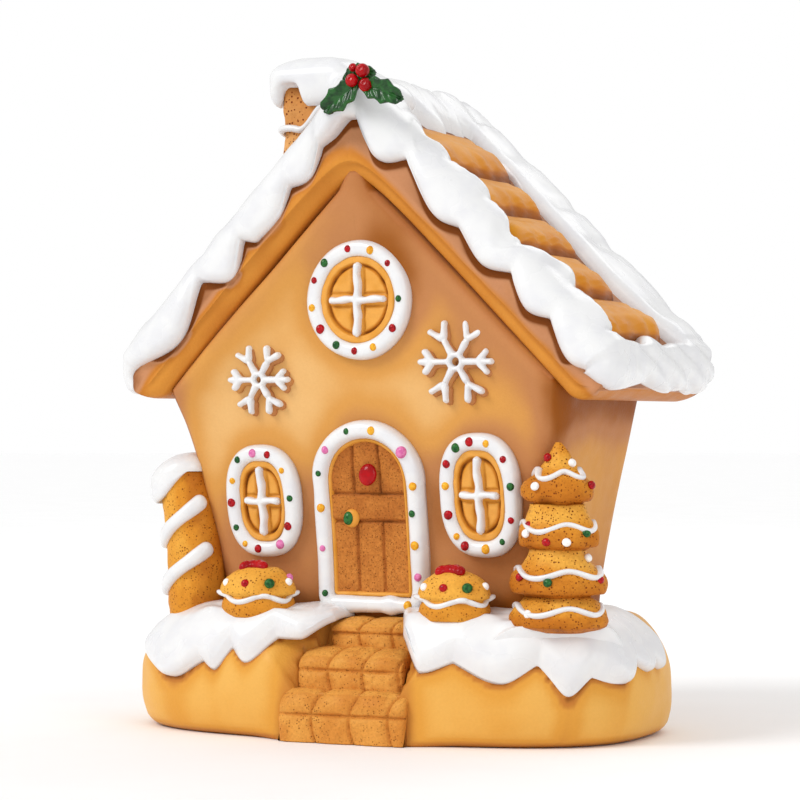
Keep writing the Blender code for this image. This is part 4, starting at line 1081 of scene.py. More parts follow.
def make_chimney():
    low, high = node_box("chimney")
    turn = np.linspace(0.0, 2 * math.pi, 96, endpoint=False)
    top = high[2]
    rings = []
    for t in np.linspace(0.0, 1.0, 44):
        x, y = chimney_outline(low, high, -0.5, turn)
        foot = RIDGE_Z - SLOPE_OUT[-1] * (np.hypot(x, RIDGE_ROUND) - RIDGE_ROUND) - 1.0
        rings.append(stack(x, y, mix(foot, top - 0.5, t)))
    points = np.array(rings)
    centre = points.mean(axis=1, keepdims=True)
    points += unit((points - centre) * (1, 1, 0)) * (0.7 * noise(points, 4.0, 31) - 0.2)[..., None]

    def shade(at, normals):
        # painted shade under the icing cap, on a tone that varies at random
        return 0.35 + 0.3 * noise(at, 7.0, 32) + 0.5 * halo(top - at[:, 2], 5.0)

    add_piece("chimney_shaft", tube(points), SHAFT_PAINT, ["chimney"], shade)

    cap_top = node_box("chimney_cap")[1][2]
    rings = []
    for t in np.linspace(0.0, 1.0, 9):
        x, y = chimney_outline(low, high, mix(-6.0, -0.8, t), turn)
        rings.append(stack(x, y, top + 0 * x - 1.0))
    heading = np.degrees(turn)
    drip = 8.5 * smooth((26.0 - np.abs(heading - 209.0)) / 11.0) - 3.0
    drip = drip + 8.5 * smooth((32.0 - np.abs(heading - 286.0)) / 12.0)
    drip = drip + 6.0 * halo(np.abs(heading - 120.0), 30.0) + 5.0 * halo(heading, 40.0)
    for t in np.linspace(0.0, 1.0, 22):
        x, y = chimney_outline(low, high, 0.1 + 3.6 * float(rounded(1.7 * t)), turn)
        rings.append(stack(x, y, mix(top - 2.5 - drip, top + 3.0, t)))
    for t in np.linspace(0.08, 1.0, 16):
        shrink = math.sqrt(max(1.0 - t ** 2.0, 0.0004))
        x, y = chimney_outline(low, high, 3.7, turn)
        centre = (low + high) / 2
        rings.append(stack(mix(centre[0], x, shrink), mix(centre[1], y, shrink),
                           mix(top + 3.0, cap_top - 0.4, t)))
    cap = tube(np.array(rings))
    # the cap has run down into the icing on the ridge
    flow = blobs([(-21.0, -15.0, 233.5), (-10.0, -20.0, 228.6), (-3.0, -23.0, 225.2),
                  (-12.0, -4.0, 228.0)],
                 [(0.15, 0.0, 1.0)] * 4,
                 [(13, 14, 8.2), (13, 13, 8.2), (14, 15, 7.6), (11, 11, 6.5)], 32, 18)
    verts, faces = melt([cap, flow], 0.9, 8)
    verts = verts + unit(verts - (-27.5, -15.0, 225.0)) * 0.5 * noise(verts, 9.0, 33)[:, None]
    verts[:, 2] = np.minimum(verts[:, 2], cap_top)
    add_piece("chimney_icing", (verts, faces), ICING_PAINT, ["chimney_cap"])

    # one piped line round the front and the right of the shaft
    turns = np.radians(np.linspace(180.0, 310.0, 60))
    x, y = chimney_outline(low, high, 0.0, turns)
    z = mix(215.0, 223.0, smooth((np.degrees(turns) - 250.0) / 50.0))
    z = z + 0.8 * np.sin(turns * 5.0)
    out = stack(np.cos(turns), np.sin(turns), 0.2)
    line = bead(stack(x, y, z), out, 1.3, 1.6, seat=0.8)
    add_piece("chimney_piping", line, ICING_PAINT, "icing")


# --- holly -----------------------------------------------------------------------

def holly_leaf(root, tip, half, front, fold):
    """Leaf with spiky sides, folded along its rib, facing -Y."""
    root, tip = np.array(root, float), np.array(tip, float)
    t, s = np.meshgrid(np.linspace(0.0, 1.0, 49), np.linspace(-1.0, 1.0, 21), indexing="ij")
    spikes = np.abs(((t * 3.1 + 0.15) % 1.0) - 0.5) * 2.0
    width = half * (0.8 + 0.26 * spikes ** 1.3) * np.sin(math.pi * np.clip(t, 0.02, 0.985)) ** 0.45
    along = tip - root
    across = unit(np.array((-along[1], along[0])))
    bow = 1.5 * np.sin(math.pi * t)
    x = root[0] + along[0] * t + across[0] * width * s + across[0] * bow * 0.4
    z = root[1] + along[1] * t + across[1] * width * s + across[1] * bow * 0.4
    crease = fold * np.abs(s) - 0.25 * halo(np.abs(s), 0.12)
    veins = 0.16 * np.sin(t * 38.0 - np.abs(s) * 9.0) * smooth(np.abs(s) * 4)
    y = front + 1.1 - crease - veins - 0.8 * bow
    base = stack(x, y, z)
    return layer(base, stack(0.0 * x, -1.0, 0.0 * x), 1.1, rim=0.9, seat=0.5)


def make_holly():
    shift = np.array((3.4, -2.0, -2.0))
    for name, fold, half in (("left", 1.4, 4.7), ("right", 1.4, 4.4), ("back", 0.8, 4.0)):
        low, high = node_box(f"holly_leaf_{name}")
        low, high = low + shift, high + shift
        if name == "back":
            low[2] -= 4.0
            high[2] -= 4.0
        if name == "left":
            root, tip = (high[0] - 0.2, high[2] - 2.2), (low[0] + 1.6, low[2] + 1.6)
        elif name == "right":
            root, tip = (low[0] + 0.4, high[2] - 3.4), (high[0] - 0.2, low[2] + 3.6)
        else:
            root, tip = (low[0] + 0.3, low[2] + 1.6), (high[0] - 0.2, high[2] - 3.0)
        shape = holly_leaf(root, tip, half, low[1], fold)
        add_piece(f"holly_{name}", shape, LEAF_PAINT, [f"holly_leaf_{name}"])
    for number in (1, 2, 3):
        low, high = node_box(f"holly_berry_{number}")
        add_berry(f"berry_{number}", (low + high) / 2 + shift + (0.0, 2.0, 0.0), (high - low)[0] / 2 + 0.1,
                  [f"holly_berry_{number}"])
    low, high = node_box("holly_berry_2")
    add_berry("berry_4", (low + high) / 2 + shift + (-0.4, 3.6, 4.6), 1.5, "berry_red")


def add_berry(name, centre, radius, nodes):
    """Round berry with a small dimple where its flower was."""
    verts, faces = blobs([(0.0, 0.0, 0.0)], [(0.1, -1.0, 0.25)], [(radius,) * 3], 28, 18)
    pole = unit(np.array((0.1, -1.0, 0.25)))
    near = (unit(verts) @ pole)
    verts = verts * (1.0 - 0.16 * smooth((near - 0.9) / 0.1))[:, None]
    add_piece(name, (verts + centre, faces), BERRY_PAINT, nodes)


# --- windows and door ------------------------------------------------------------

# where the sugar dots sit on each icing band, as directions from its middle
BAND_DOTS = {
    "window_round_ring": {"red": (98, 44, -35, -93, -144, 155), "yellow": (72, -68, -170),
                          "green": (-1, -118, 131)},
    "window_left_ring": {"green": (117, 7, -138), "pink": (97, -66), "red": (75, -40, -95, -176),
                         "yellow": (48, -114, 146)},
    "window_right_ring": {"green": (115, 14, -62), "red": (95, 51, -36, -107, -150, 135),
                          "yellow": (75, -85, -124, 164)},
    "door_frame": {"green": (99, 5, 139, -124), "yellow": (82, 33, -28, -64, 171),
                   "pink": (57, -49, 122, -148)},
}
dots = {tint: [] for tint in CANDY_PAINTS}


def oval(half_x, half_z, squareness, angle):
    """Points of a squared oval round (0, 0), one for each direction."""
    c, s = np.abs(np.cos(angle)) / half_x, np.abs(np.sin(angle)) / half_z
    reach = (c ** squareness + s ** squareness) ** (-1.0 / squareness)
    return reach * np.cos(angle), reach * np.sin(angle)


def add_band_dots(node, x, z, lift):
    """Sugar dots along the middle line of an icing band."""
    middle = x.mean(), (z.max() + z.min()) / 2
    heading = np.degrees(np.arctan2(z - middle[1], x - middle[0]))
    for tint, directions in BAND_DOTS[node].items():
        for number, direction in enumerate(directions):
            k = np.argmin(np.abs((heading - direction + 180.0) % 360.0 - 180.0))
            size = 1.35 + 0.25 * math.sin(5.0 * number + direction)
            if tint == "pink" and direction == 57:
                size = 2.0
            centre = on_wall(x[k] + 0.5 * math.sin(direction), z[k], lift - 0.1)
            dots[tint].append((centre, (0.1, -1.0, 0.15), (size, size * 1.1, size * 0.9)))


def make_window(name, squareness, width=6.2):
    ring_node = f"{name}_ring"
    low, high = node_box(ring_node)
    centre, half = (low + high) / 2, (high - low) / 2
    angle = np.linspace(0.0, 2 * math.pi, 120, endpoint=False)
    x, z = oval(half[0] - width / 2, half[2] - width / 2, squareness, angle)
    x, z = centre[0] + x, centre[2] + z
    path = on_wall(x, z)
    wobble = noise(path, 9.0, 41)
    out = stack(0.0 * x, -1.0, 0.0 * x)
    band = bead(path, out, width / 2 * (1 + 0.06 * wobble), 4.5 * (1 + 0.05 * wobble),
                closed=True, fullness=2.5, around=14)
    add_piece(f"{name}_icing_ring", band, ICING_PAINT, [ring_node])
    add_band_dots(ring_node, x, z, 4.3)

    inner_x, inner_z = half[0] - width + 0.5, half[2] - width + 0.5
    shares = np.concatenate(((1.0,), np.linspace(1.0, 0.03, 60)))
    turn = np.linspace(0.0, 2 * math.pi, 132, endpoint=False)
    rings, marks = [], []
    for k, share in enumerate(shares):
        px, pz = oval(inner_x * share, inner_z * share, squareness, turn)
        inside = np.minimum(np.minimum(np.abs(px) - 2.2, np.abs(pz) - 2.2),
                            (0.77 - share) * min(inner_x, inner_z))
        groove = halo(np.abs(inside), 0.55)
        border = rounded((1.0 - share) / 0.05) * rounded(max(share - 0.8, 0.0) / 0.06)
        lift = 2.1 + 0.9 * border - 0.7 * groove + 0.25 * noise(stack(px, pz, 0 * px), 2.2, 42)
        lift = lift - 0.7 * halo(abs(share - 0.8), 0.03)
        mark = 0.5 * groove + 0.4 * halo(abs(share - 0.8), 0.035) + 0.12 + 0 * px
        mark = mark + 0.25 * noise(stack(px, pz, 1 + 0 * px), 3.0, 43)
        if k == 0:
            lift = 0 * px - 0.5
        rings.append(on_wall(centre[0] + px, centre[2] + pz, lift))
        marks.append(mark)
    marks = np.concatenate((np.concatenate(marks), (0.2, 0.2)))
    add_piece(f"{name}_plate", tube(np.array(rings)), PANE_PAINT, [f"{name}_pane"], marks)

    low, high = node_box(f"{name}_cross")
    centre = (low + high) / 2
    bars = []
    for reach, across in (((high[2] - low[2]) / 2, 0), ((high[0] - low[0]) / 2, 1)):
        t = np.linspace(-reach - 1.3, reach + 1.3, 28)
        sway = 0.25 * np.sin(t * 0.6 + reach)
        px = centre[0] + (t if across else sway)
        pz = centre[2] + (sway if across else t)
        thick = 1.3 * (1 + 0.1 * np.sin(t * 1.1 + 1.0))
        bars.append(bead(on_wall(px, pz, 1.9), stack(0 * px, -1.0, 0 * px), thick, 2.9, seat=0.5,
                         fullness=2.6))
    add_piece(f"{name}_icing_cross", melt(bars, 0.32, 5), ICING_PAINT, [f"{name}_cross"])


def door_line(inset, count=64):
    """Outline of the arched door drawn in by an inset, anticlockwise from the right."""
    low, high = node_box("door_frame")
    half = (high[0] - low[0]) / 2 - inset
    centre = (low[0] + high[0]) / 2
    spring, bottom = high[2] - (high[0] - low[0]) / 2, low[2] + inset
    soft = max(7.0 - inset, 1.0)
    arch = np.linspace(0.0, math.pi, count)
    quarter = np.linspace(0.0, math.pi / 2, 10)
    side = np.linspace(spring, bottom + soft, 26)[1:-1]
    floor = np.linspace(-half + soft, half - soft, 24)[1:-1]
    flat = half - soft
    x = np.concatenate((half * np.cos(arch), 0 * side - half, -flat - soft * np.cos(quarter),
                        floor, flat + soft * np.sin(quarter), 0 * side + half))
    z = np.concatenate((spring + half * np.sin(arch), side, bottom + soft * (1 - np.sin(quarter)),
                        0 * floor + bottom, bottom + soft * (1 - np.cos(quarter)), side[::-1]))
    return centre + x, z


def make_door():
    width = 6.6
    x, z = door_line(width / 2)
    path = on_wall(x, z)
    wobble = noise(path, 8.0, 45)
    low, high = node_box("door_frame")
    sag = 1.0 + 0.25 * halo(z - low[2] - 3.0, 6.0) * noise(path, 4.0, 46)
    band = bead(path, stack(0 * x, -1.0, 0 * x), width / 2 * (1 + 0.07 * wobble) * sag,
                5.3 * (1 + 0.05 * wobble), closed=True, fullness=2.5, around=14)
    add_piece("door_icing_frame", band, ICING_PAINT, ["door_frame"])
    add_band_dots("door_frame", x, z, 5.1)
    x, z = door_line(width + 0.3)
    rim = bead(on_wall(x, z), stack(0 * x, -1.0, 0 * x), 1.1, 3.1, closed=True)
    add_piece("door_rim", rim, PANE_PAINT, "pane_biscuit",
              lambda at, normals: 0.25 + 0.3 * noise(at, 4.0, 47))

    leaf_low, leaf_high = node_box("door_leaf")
    centre, half = (leaf_low[0] + leaf_high[0]) / 2, (leaf_high[0] - leaf_low[0]) / 2 + 0.6
    spring = leaf_high[2] + 0.6 - half
    zs = np.concatenate((np.linspace(leaf_low[2] - 0.4, spring, 84),
                         spring + half * np.sin(np.linspace(0.0, 1.52, 36))[1:]))
    z, share = np.meshgrid(zs, np.linspace(-1.0, 1.0, 84), indexing="ij")
    width_here = np.sqrt(np.maximum(half ** 2 - np.maximum(z - spring, 0.0) ** 2, 0.3))
    px = width_here * share
    band_low, band_high = mix(leaf_low[2], leaf_high[2], 0.47), mix(leaf_low[2], leaf_high[2], 0.65)
    in_band = smooth((z - band_low) / 0.8) * smooth((band_high - z) / 0.8)
    joint = np.minimum(np.abs(px + half / 3 + 0.5), np.abs(px - half / 3 + 0.3))
    groove = halo(joint, 0.55) * (1.0 - in_band)
    edge = np.minimum(np.abs(z - band_low), np.abs(z - band_high))
    groove = np.maximum(groove, halo(edge, 0.55))
    crown = 0.5 * np.cos(np.clip(joint / half * 4.0, 0.0, 1.5)) * -1.0
    spot = stack(px, 0 * px, z)
    lift = 2.3 + 0.7 * in_band - 0.9 * groove + 0.3 * crown + 0.28 * noise(spot, 1.6, 48)
    lift += 0.2 * noise(spot, 5.0, 49)
    base = on_wall(centre + px, z)
    leaf = layer(base, stack(0 * px, -1.0, 0 * px), lift, rim=0.5)
    top_marks = 0.2 + 0.5 * groove + 0.2 * noise(spot, 5.0, 50) + 0.2 * noise(spot, 12.0, 51)
    marks = np.tile(top_marks.reshape(-1), 2)
    add_piece("door_planks", leaf, DOOR_PAINT, ["door_leaf"], marks)

    for node, paint in (("door_candy", BERRY_PAINT), ("door_knob", CANDY_PAINTS["green"])):
        low, high = node_box(node)
        radii = (high - low)[[0, 2, 1]] / 2 * (1.15, 1.0, 1.0)
        drop = blobs([(low + high) / 2 + (0, 0.5, 0)], [(0.0, -1.0, 0.08)], [radii], 36, 20)
        verts, faces = drop
        verts = verts + unit(verts - (low + high) / 2) * 0.12 * noise(verts, 2.5, 52)[:, None]
        add_piece(f"{node}_drop", (verts, faces), paint, [node])
        if node == "door_knob":
            spot = (low + high) / 2 + (0.9, 1.2, 0.0)
            ring = blobs([spot], [(0.0, -1.0, 0.0)], [(3.0, 3.3, 1.3)], 30, 12)
            add_piece("door_knob_seat", ring, PANE_PAINT, "pane_biscuit",
                      lambda at, normals: 0.3 + 0 * at[:, 0])


# --- snowflakes ------------------------------------------------------------------

def flake_lines(radius):
    """The straight lines of a flake: its arms end in prongs."""
    lines = []
    for arm in range(6):
        a = math.radians(60 * arm)
        forked = arm % 3 != 0
        fork = radius * (0.6 if forked else 0.58)
        end = fork if forked else radius
        lines.append((a, 0.16 * radius, 0.0, end))
        spread, reach = (32, 0.47) if forked else (48, 0.4)
        for turn in (-spread, spread):
            lines.append((a, fork, math.radians(turn), radius * reach))
    return lines


def flake_beads(centre, radius, half, height, lift):
    beads = []
    for a, start, bend, reach in flake_lines(radius):
        t = np.linspace(0.0, 1.0, 16)
        origin = (start * math.cos(a), start * math.sin(a))
        length = reach - start if bend == 0.0 else reach
        x = origin[0] + t * length * math.cos(a + bend)
        z = origin[1] + t * length * math.sin(a + bend)
        fat = half * (1.0 + 0.12 * np.sin(7.0 * t + a * 3.0))
        path = on_wall(centre[0] + x, centre[1] + z, lift)
        beads.append(bead(path, stack(0 * x, -1.0, 0 * x), fat, height, fullness=2.2))
    turn = np.linspace(0.0, 2 * math.pi, 24, endpoint=False)
    x, z = 0.17 * radius * np.cos(turn), 0.17 * radius * np.sin(turn)
    path = on_wall(centre[0] + x, centre[1] + z, lift)
    beads.append(bead(path, stack(0 * x, -1.0, 0 * x), half * 0.9, height, closed=True))
    return beads


def make_snowflakes():
    for name in ("left", "right"):
        low, high = node_box(f"snowflake_{name}")
        centre, radius = ((low + high) / 2)[[0, 2]], (high - low)[0] / 2 - 0.6
        shape = melt(flake_beads(centre, radius, 1.15, 2.4, 1.2), 0.33, 5)
        add_piece(f"flake_{name}", shape, ICING_PAINT, [f"snowflake_{name}"])
        # a low brown copy of each flake set down and to the right, as its painted shadow
        shape = melt(flake_beads(centre + (0.6, -0.7), radius, 1.6, 1.6, 0.0), 0.45, 3)
        add_piece(f"flake_{name}_shadow_backing", shape, WALL_PAINT, "wall_biscuit",
                  lambda at, normals: 0.62 + 0.15 * noise(at, 6.0, 55))


# --- steps -----------------------------------------------------------------------

def make_steps():
    """Treads and risers of bricks with rounded edges and open joints."""
    for number, (low, high) in enumerate(STEPS, 1):
        foot = low[2] - (3.0 if number > 1 else 0.0)
        # the tread is a cushion that slopes down to a low riser
        behind = STEPS[number][0][1] if number < 3 else high[1]
        below = STEPS[number - 2][1][2] if number > 1 else 3.0
        deep, drop = behind - low[1] - 0.5, 0.55 * (high[2] - below)
        riser = np.linspace(foot, high[2] - drop, 26)
        bend = np.linspace(0.0, math.pi / 2, 30)[1:-1]
        tread = np.linspace(low[1] + deep, high[1], 24)
        py = np.concatenate((0 * riser + low[1], low[1] + deep * (1 - np.cos(bend)), tread))
        pz = np.concatenate((riser, high[2] - drop + drop * np.sin(bend), 0 * tread + high[2]))
        facing = unit(stack(-drop * np.cos(bend), deep * np.sin(bend)))
        oy = np.concatenate((0 * riser - 1.0, facing[:, 0], 0 * tread))
        oz = np.concatenate((0 * riser, facing[:, 1], 0 * tread + 1.0))
        along = np.concatenate(([0.0], np.cumsum(np.hypot(np.diff(py), np.diff(pz)))))
        share = np.linspace(0.0, 1.0, 90)
        x = mix(low[0], high[0], share)[None] + 0 * py[:, None]
        point = stack(x, py[:, None] + 0 * x, pz[:, None] + 0 * x)
        out = stack(0 * x, oy[:, None] + 0 * x, oz[:, None] + 0 * x)
        nose_line = high[2] - foot - drop - 0.5
        bricks = (3.3, 3.0, 2.4)[number - 1]
        spot = share[None] * bricks + 0.12 * np.sin(along[:, None] * 0.2)
        upright = np.abs((spot + 0.5) % 1.0 - 0.5) * (high[0] - low[0]) / bricks
        level = np.abs(along - nose_line)[:, None] + 0.5 * noise(point, 8.0, 61)
        gap = np.minimum(upright, np.abs(level))
        joint = halo(gap, 0.4)
        # each brick swells a little between its joints
        swell = rounded(np.minimum(gap, 5.0) / 5.0)
        lift = -0.5 * joint - 1.5 * (1.0 - swell) + 0.45 * noise(point, 7.0, 62)
        lift += 0.25 * noise(point, 1.8, 63) - 0.4
        sides = rounded(np.minimum(share, 1 - share) * (high[0] - low[0]) / 5.0)
        lift = lift - 1.6 * (1.0 - sides)[None]
        skin = point + out * lift[..., None]
        skin[..., 2] = np.maximum(skin[..., 2], foot)
        bottom = np.array([[(px, py[0] + 1.5, foot), (px, high[1], foot)] for px in x[0]])
        rings = np.concatenate((skin.transpose(1, 0, 2), bottom[:, ::-1]), axis=1)
        marks = 0.08 + 0.32 * joint + 0.2 * noise(point, 6.0, 64) + 0.12 * (out[..., 1] < -0.7)
        marks = np.concatenate((marks.T, 0.6 * np.ones((len(share), 2))), axis=1).reshape(-1)
        add_piece(f"brick_step_{number}", tube(rings), STEP_PAINT, [f"step_{number}"],
                  np.append(marks, (0.5, 0.5)))


# --- snow on the mound -----------------------------------------------------------

SNOW = 3.4
DRIFT_REACH = 11.0


def snow_inner(angle):
    """Distance from the mound's centre to the foot of the walls, plus a clearance."""
    clear = 0.4
    c, s = np.cos(angle), np.sin(angle)
    side = WALL_FOOT_HALF + clear + np.where(c < 0, MOUND_CENTRE[0], -MOUND_CENTRE[0])
    reach_x = side / np.maximum(np.abs(c), 1e-3)
    reach_y = (FRONT_FOOT_Y + clear + MOUND_CENTRE[1]) / np.maximum(np.abs(s), 1e-3)
    return np.minimum(reach_x, reach_y)


def snow_top(x, y):
    return mound_height(x, y) + SNOW - end_sag(x)


def tree_drift():
    """Snow banked up under the foot of the tree, running out into the sheet."""
    low, high = node_box("tree_tier_4")
    middle, half = (low + high) / 2, (high - low) / 2
    share, turn = np.meshgrid(np.linspace(0.05, 1.0, 40),
                              np.linspace(0.0, 2 * math.pi, 120, endpoint=False), indexing="ij")
    foot = np.hypot(half[0] * np.cos(turn), half[1] * np.sin(turn))
    reach = share * (foot + DRIFT_REACH)
    x, y = middle[0] + reach * np.cos(turn), middle[1] + reach * np.sin(turn)
    # nothing may stand out past the rim of the mound, and the border dives into the sheet
    dive = smooth((share - 0.6) / 0.4)
    angle = np.arctan2(y - MOUND_CENTRE[1], x - MOUND_CENTRE[0])
    span = np.hypot(x - MOUND_CENTRE[0], y - MOUND_CENTRE[1])
    pull = np.minimum(1.0, (mound_rim(angle) + SNOW - 2.0 - 3.0 * dive) / span)
    x = MOUND_CENTRE[0] + pull * (x - MOUND_CENTRE[0])
    y = MOUND_CENTRE[1] + pull * (y - MOUND_CENTRE[1])
    inside = np.minimum(1.0, (mound_rim(angle) - 0.5) / (pull * span))
    sheet = snow_top(MOUND_CENTRE[0] + inside * (x - MOUND_CENTRE[0]),
                     MOUND_CENTRE[1] + inside * (y - MOUND_CENTRE[1]))
    bank = halo(reach - 0.86 * foot, DRIFT_REACH + 0.1 * foot)
    under = sheet - 0.8 - 1.2 * dive
    z = mix(under, np.maximum(low[2] + 1.0, under), bank)
    z = z + 0.5 * noise(stack(x, y, 0 * x), 10.0, 74) * bank
    top = stack(x, y, z)
    return tube(np.concatenate((top, top[-1:] - (0.0, 0.0, 2.0))))


def make_snow():
    for name, edge in SNOW_EDGE.items():
        turn = np.radians(np.linspace(edge[0][0], edge[-1][0], 190))
        low = np.radians(drips(edge, np.degrees(turn), hang=-1))
        inner = snow_inner(turn)
        reach = np.clip((mound_rim(turn) - inner) / MOUND_SHOULDER, 0.0, 1.0)
        top = np.arccos((1.0 - reach) ** (MOUND_SQUARENESS / 2))
        points, outs = [], []
        for t in ease_ends(40):
            point, out = mound_shoulder(turn, mix(low, np.minimum(top, 1.5), t))
            points.append(point)
            outs.append(out)
        shoulder_top, shoulder_out = points[-1][:, 2], outs[-1]
        crown = mound_rim(turn) - MOUND_SHOULDER
        for t in np.linspace(0.12, 1.0, 12):
            far = np.minimum(mix(np.maximum(crown, inner), inner, t),
                             mound_rim(turn) - MOUND_SHOULDER * (1 - np.cos(top) ** (2 / MOUND_SQUARENESS)))
            points.append(mound_at(turn, far, shoulder_top))
            outs.append(shoulder_out)
        point, out = np.stack(points, axis=1), np.stack(outs, axis=1)
        point[..., 2] -= end_sag(point[..., 0]) * smooth((point[..., 2] - 16.0) / 22.0)
        runs = stack(60.0 * np.repeat(turn[:, None], point.shape[1], axis=1),
                     0.2 * point[..., 2], 0.0)
        full = SNOW * (1.0 + 0.22 * noise(point, 12.0, 71) + 0.16 * noise(runs, 5.0, 72))
        banks = (("tree_tier_4", 4.0), ("bush_left_body", 2.5), ("bush_right_body", 2.5))
        for node, deepest in banks:
            low, high = node_box(node)
            centre, half = (low + high) / 2, (high - low) / 2
            away = np.hypot((point[..., 0] - centre[0]) / half[0],
                            (point[..., 1] - centre[1]) / half[1])
            lack = np.clip(low[2] + 2.5 - SNOW - point[..., 2], 0.0, deepest)
            bank = halo((away - 0.92) * half[0], 7.0)
            full = full + lack * bank
            out = unit(out + stack(0.0, 0.0, 2.0 * bank * smooth(lack / 3.0)))
        shape = layer(point, out, full, rim=2.6, seat=1.2)
        if name == "right":
            shape = join([shape, tree_drift()])
        add_piece(f"snow_sheet_{name}", shape, ICING_PAINT, [f"snow_{name}"])


# --- column ----------------------------------------------------------------------

def revolve(profile, centre_of, depth=1.0, around=84, foot=None):
    """Rings from (radius, height) pairs round a centre that may lean with height."""
    turn = np.linspace(0.0, 2 * math.pi, around, endpoint=False)
    rings = []
    for radius, z in profile:
        cx, cy = centre_of(z)
        x, y = cx + radius * np.cos(turn), cy + depth * radius * np.sin(turn)
        level = z + 0 * x
        if foot is not None:
            level = np.maximum(level, foot(x, y) - 0.6)
        rings.append(stack(x, y, level))
    return np.array(rings)


def roughen(points, centre, amount, size, seed):
    """Push a skin in and out, sideways from its axis, by lumps."""
    away = unit((points - centre) * (1.0, 1.0, 0.3))
    return points + away * (amount * noise(points, size, seed))[..., None]


def make_column():
    low, high = node_box("column")
    cap_low, cap_high = node_box("column_cap")
    foot = (high[0] - 7.4, (low[1] + high[1]) / 2)
    head = ((cap_low[0] + cap_high[0]) / 2 + 2.0, foot[1])

    def centre_of(z):
        t = (z - low[2]) / (high[2] - low[2])
        return mix(foot[0], head[0], t) + 1.6 * math.sin(math.pi * min(max(t, 0.0), 1.0)), foot[1]

    levels = np.linspace(low[2] - 6.0, high[2] - 2.0, 80)
    points = revolve([(mix(10.8, 9.6, (z - low[2]) / 50.0), z) for z in levels], centre_of)
    slant = high[2] - 5.0 + 0.25 * (points[..., 0] - head[0])
    points[..., 2] = np.minimum(points[..., 2], slant)
    points = roughen(points, points.mean(axis=1, keepdims=True), 0.5, 9.0, 81)
    points = roughen(points, points.mean(axis=1, keepdims=True), 0.2, 2.5, 82)

    def shade(at, normals):
        # painted shade on the side towards the wall, at the foot and under the icing cap
        side = smooth((normals[:, 0] + 0.1) / 0.9)
        brown = 0.12 + 0.45 * side + 0.4 * halo(at[:, 2] - low[2] + 5.0, 7.0)
        return brown + 0.35 * halo(high[2] - at[:, 2], 6.0) + 0.2 * noise(at, 8.0, 83)

    add_piece("cane_column", tube(points), CRUMB_PAINT, ["column"], shade)

    turn = np.linspace(0.0, 2 * math.pi, 96, endpoint=False)
    tilt = 0.5 - 0.5 * np.cos(turn - math.radians(195.0))
    drip = 15.0 * (1.0 - tilt) ** 1.3 + 1.2 * np.sin(3.0 * turn + 0.6)
    rings = []
    top = high[2] - 2.5
    for t in np.linspace(0.0, 1.0, 5):
        radius = mix(3.0, 9.0, t)
        rings.append(stack(head[0] + radius * np.cos(turn), head[1] + radius * np.sin(turn),
                           top - 1.0 + 0 * turn))
    for t in np.linspace(0.0, 1.0, 20):
        radius = 9.2 + 2.0 * float(rounded(2.0 * t))
        rings.append(stack(head[0] + radius * np.cos(turn), head[1] + radius * np.sin(turn),
                           mix(top - drip, top - 2.0, t)))
    for t in np.linspace(0.04, 1.0, 18):
        shrink = math.sqrt(max(1 - t ** 2, 0.001))
        rings.append(stack(head[0] + 11.2 * shrink * np.cos(turn) + 1.5 * t,
                           head[1] + 11.2 * shrink * np.sin(turn),
                           mix(top - 2.0, cap_high[2] - 1.5, t)))
    points = roughen(np.array(rings), (head[0], head[1], top), 0.45, 8.0, 84)
    # the cap lies at a slant, lower on its left
    slant = 0.2 * np.maximum(head[0] + 6.0 - points[..., 0], 0.0)
    points[..., 2] -= slant * smooth((points[..., 2] - top + 6.0) / 6.0)
    add_piece("column_icing_cap", tube(points), ICING_PAINT, ["column_cap"])

    for number in (1, 2):
        stripe_low, stripe_high = node_box(f"column_stripe_{number}")
        t = np.linspace(0.0, 1.0, 56)
        z = mix(stripe_low[2] - 2.4, stripe_high[2] - 5.0, t)
        turn = np.radians(mix(192.0, 332.0, t))
        centre = [centre_of(level) for level in z]
        cx = np.array([c[0] for c in centre])
        girth = mix(10.8, 9.6, (z - low[2]) / 50.0)
        x, y = cx + girth * np.cos(turn), foot[1] + girth * np.sin(turn)
        stripe = bead(stack(x, y, z), stack(np.cos(turn), np.sin(turn), 0 * z),
                      2.7 * (1 + 0.08 * np.sin(9 * t)), 2.4, seat=1.0, fullness=2.3)
        add_piece(f"cane_stripe_{number}", stripe, ICING_PAINT, [f"column_stripe_{number}"])


# --- bushes and tree -------------------------------------------------------------

TREE_DEPTH = 0.78


def piping_round(centre, radius_at, level, sway, waves=4, half=0.95, tall=1.6):
    """Wavy line piped round a bun or a tier, on the surface whose radius is known by height."""
    turn = np.linspace(0.0, 2 * math.pi, 40 * waves, endpoint=False)
    wave = np.sin(waves * turn + 0.7 * np.sin(turn)) + 0.3 * np.sin(2.0 * turn + 1.0)
    z = level + sway * wave
    radius = radius_at(z)
    out = stack(np.cos(turn), np.sin(turn) * TREE_DEPTH, 0.35 + 0 * turn)
    path = stack(centre[0] + radius * np.cos(turn), centre[1] + TREE_DEPTH * radius * np.sin(turn), z)
    return bead(path, out, half, tall, closed=True, seat=1.0, around=9)


def place_candy(tint, centre, radius_at, z, turn, size=1.4):
    """A sugar dot on a round surface; turn is measured from the side that faces front right."""
    a, radius = math.radians(-65.0 + turn), radius_at(z) + 0.3
    spot = (centre[0] + radius * math.cos(a), centre[1] + TREE_DEPTH * radius * math.sin(a), z)
    dots[tint].append((np.array(spot), (math.cos(a), math.sin(a), 0.3),
                       (size, size * 0.95, size * 0.8)))


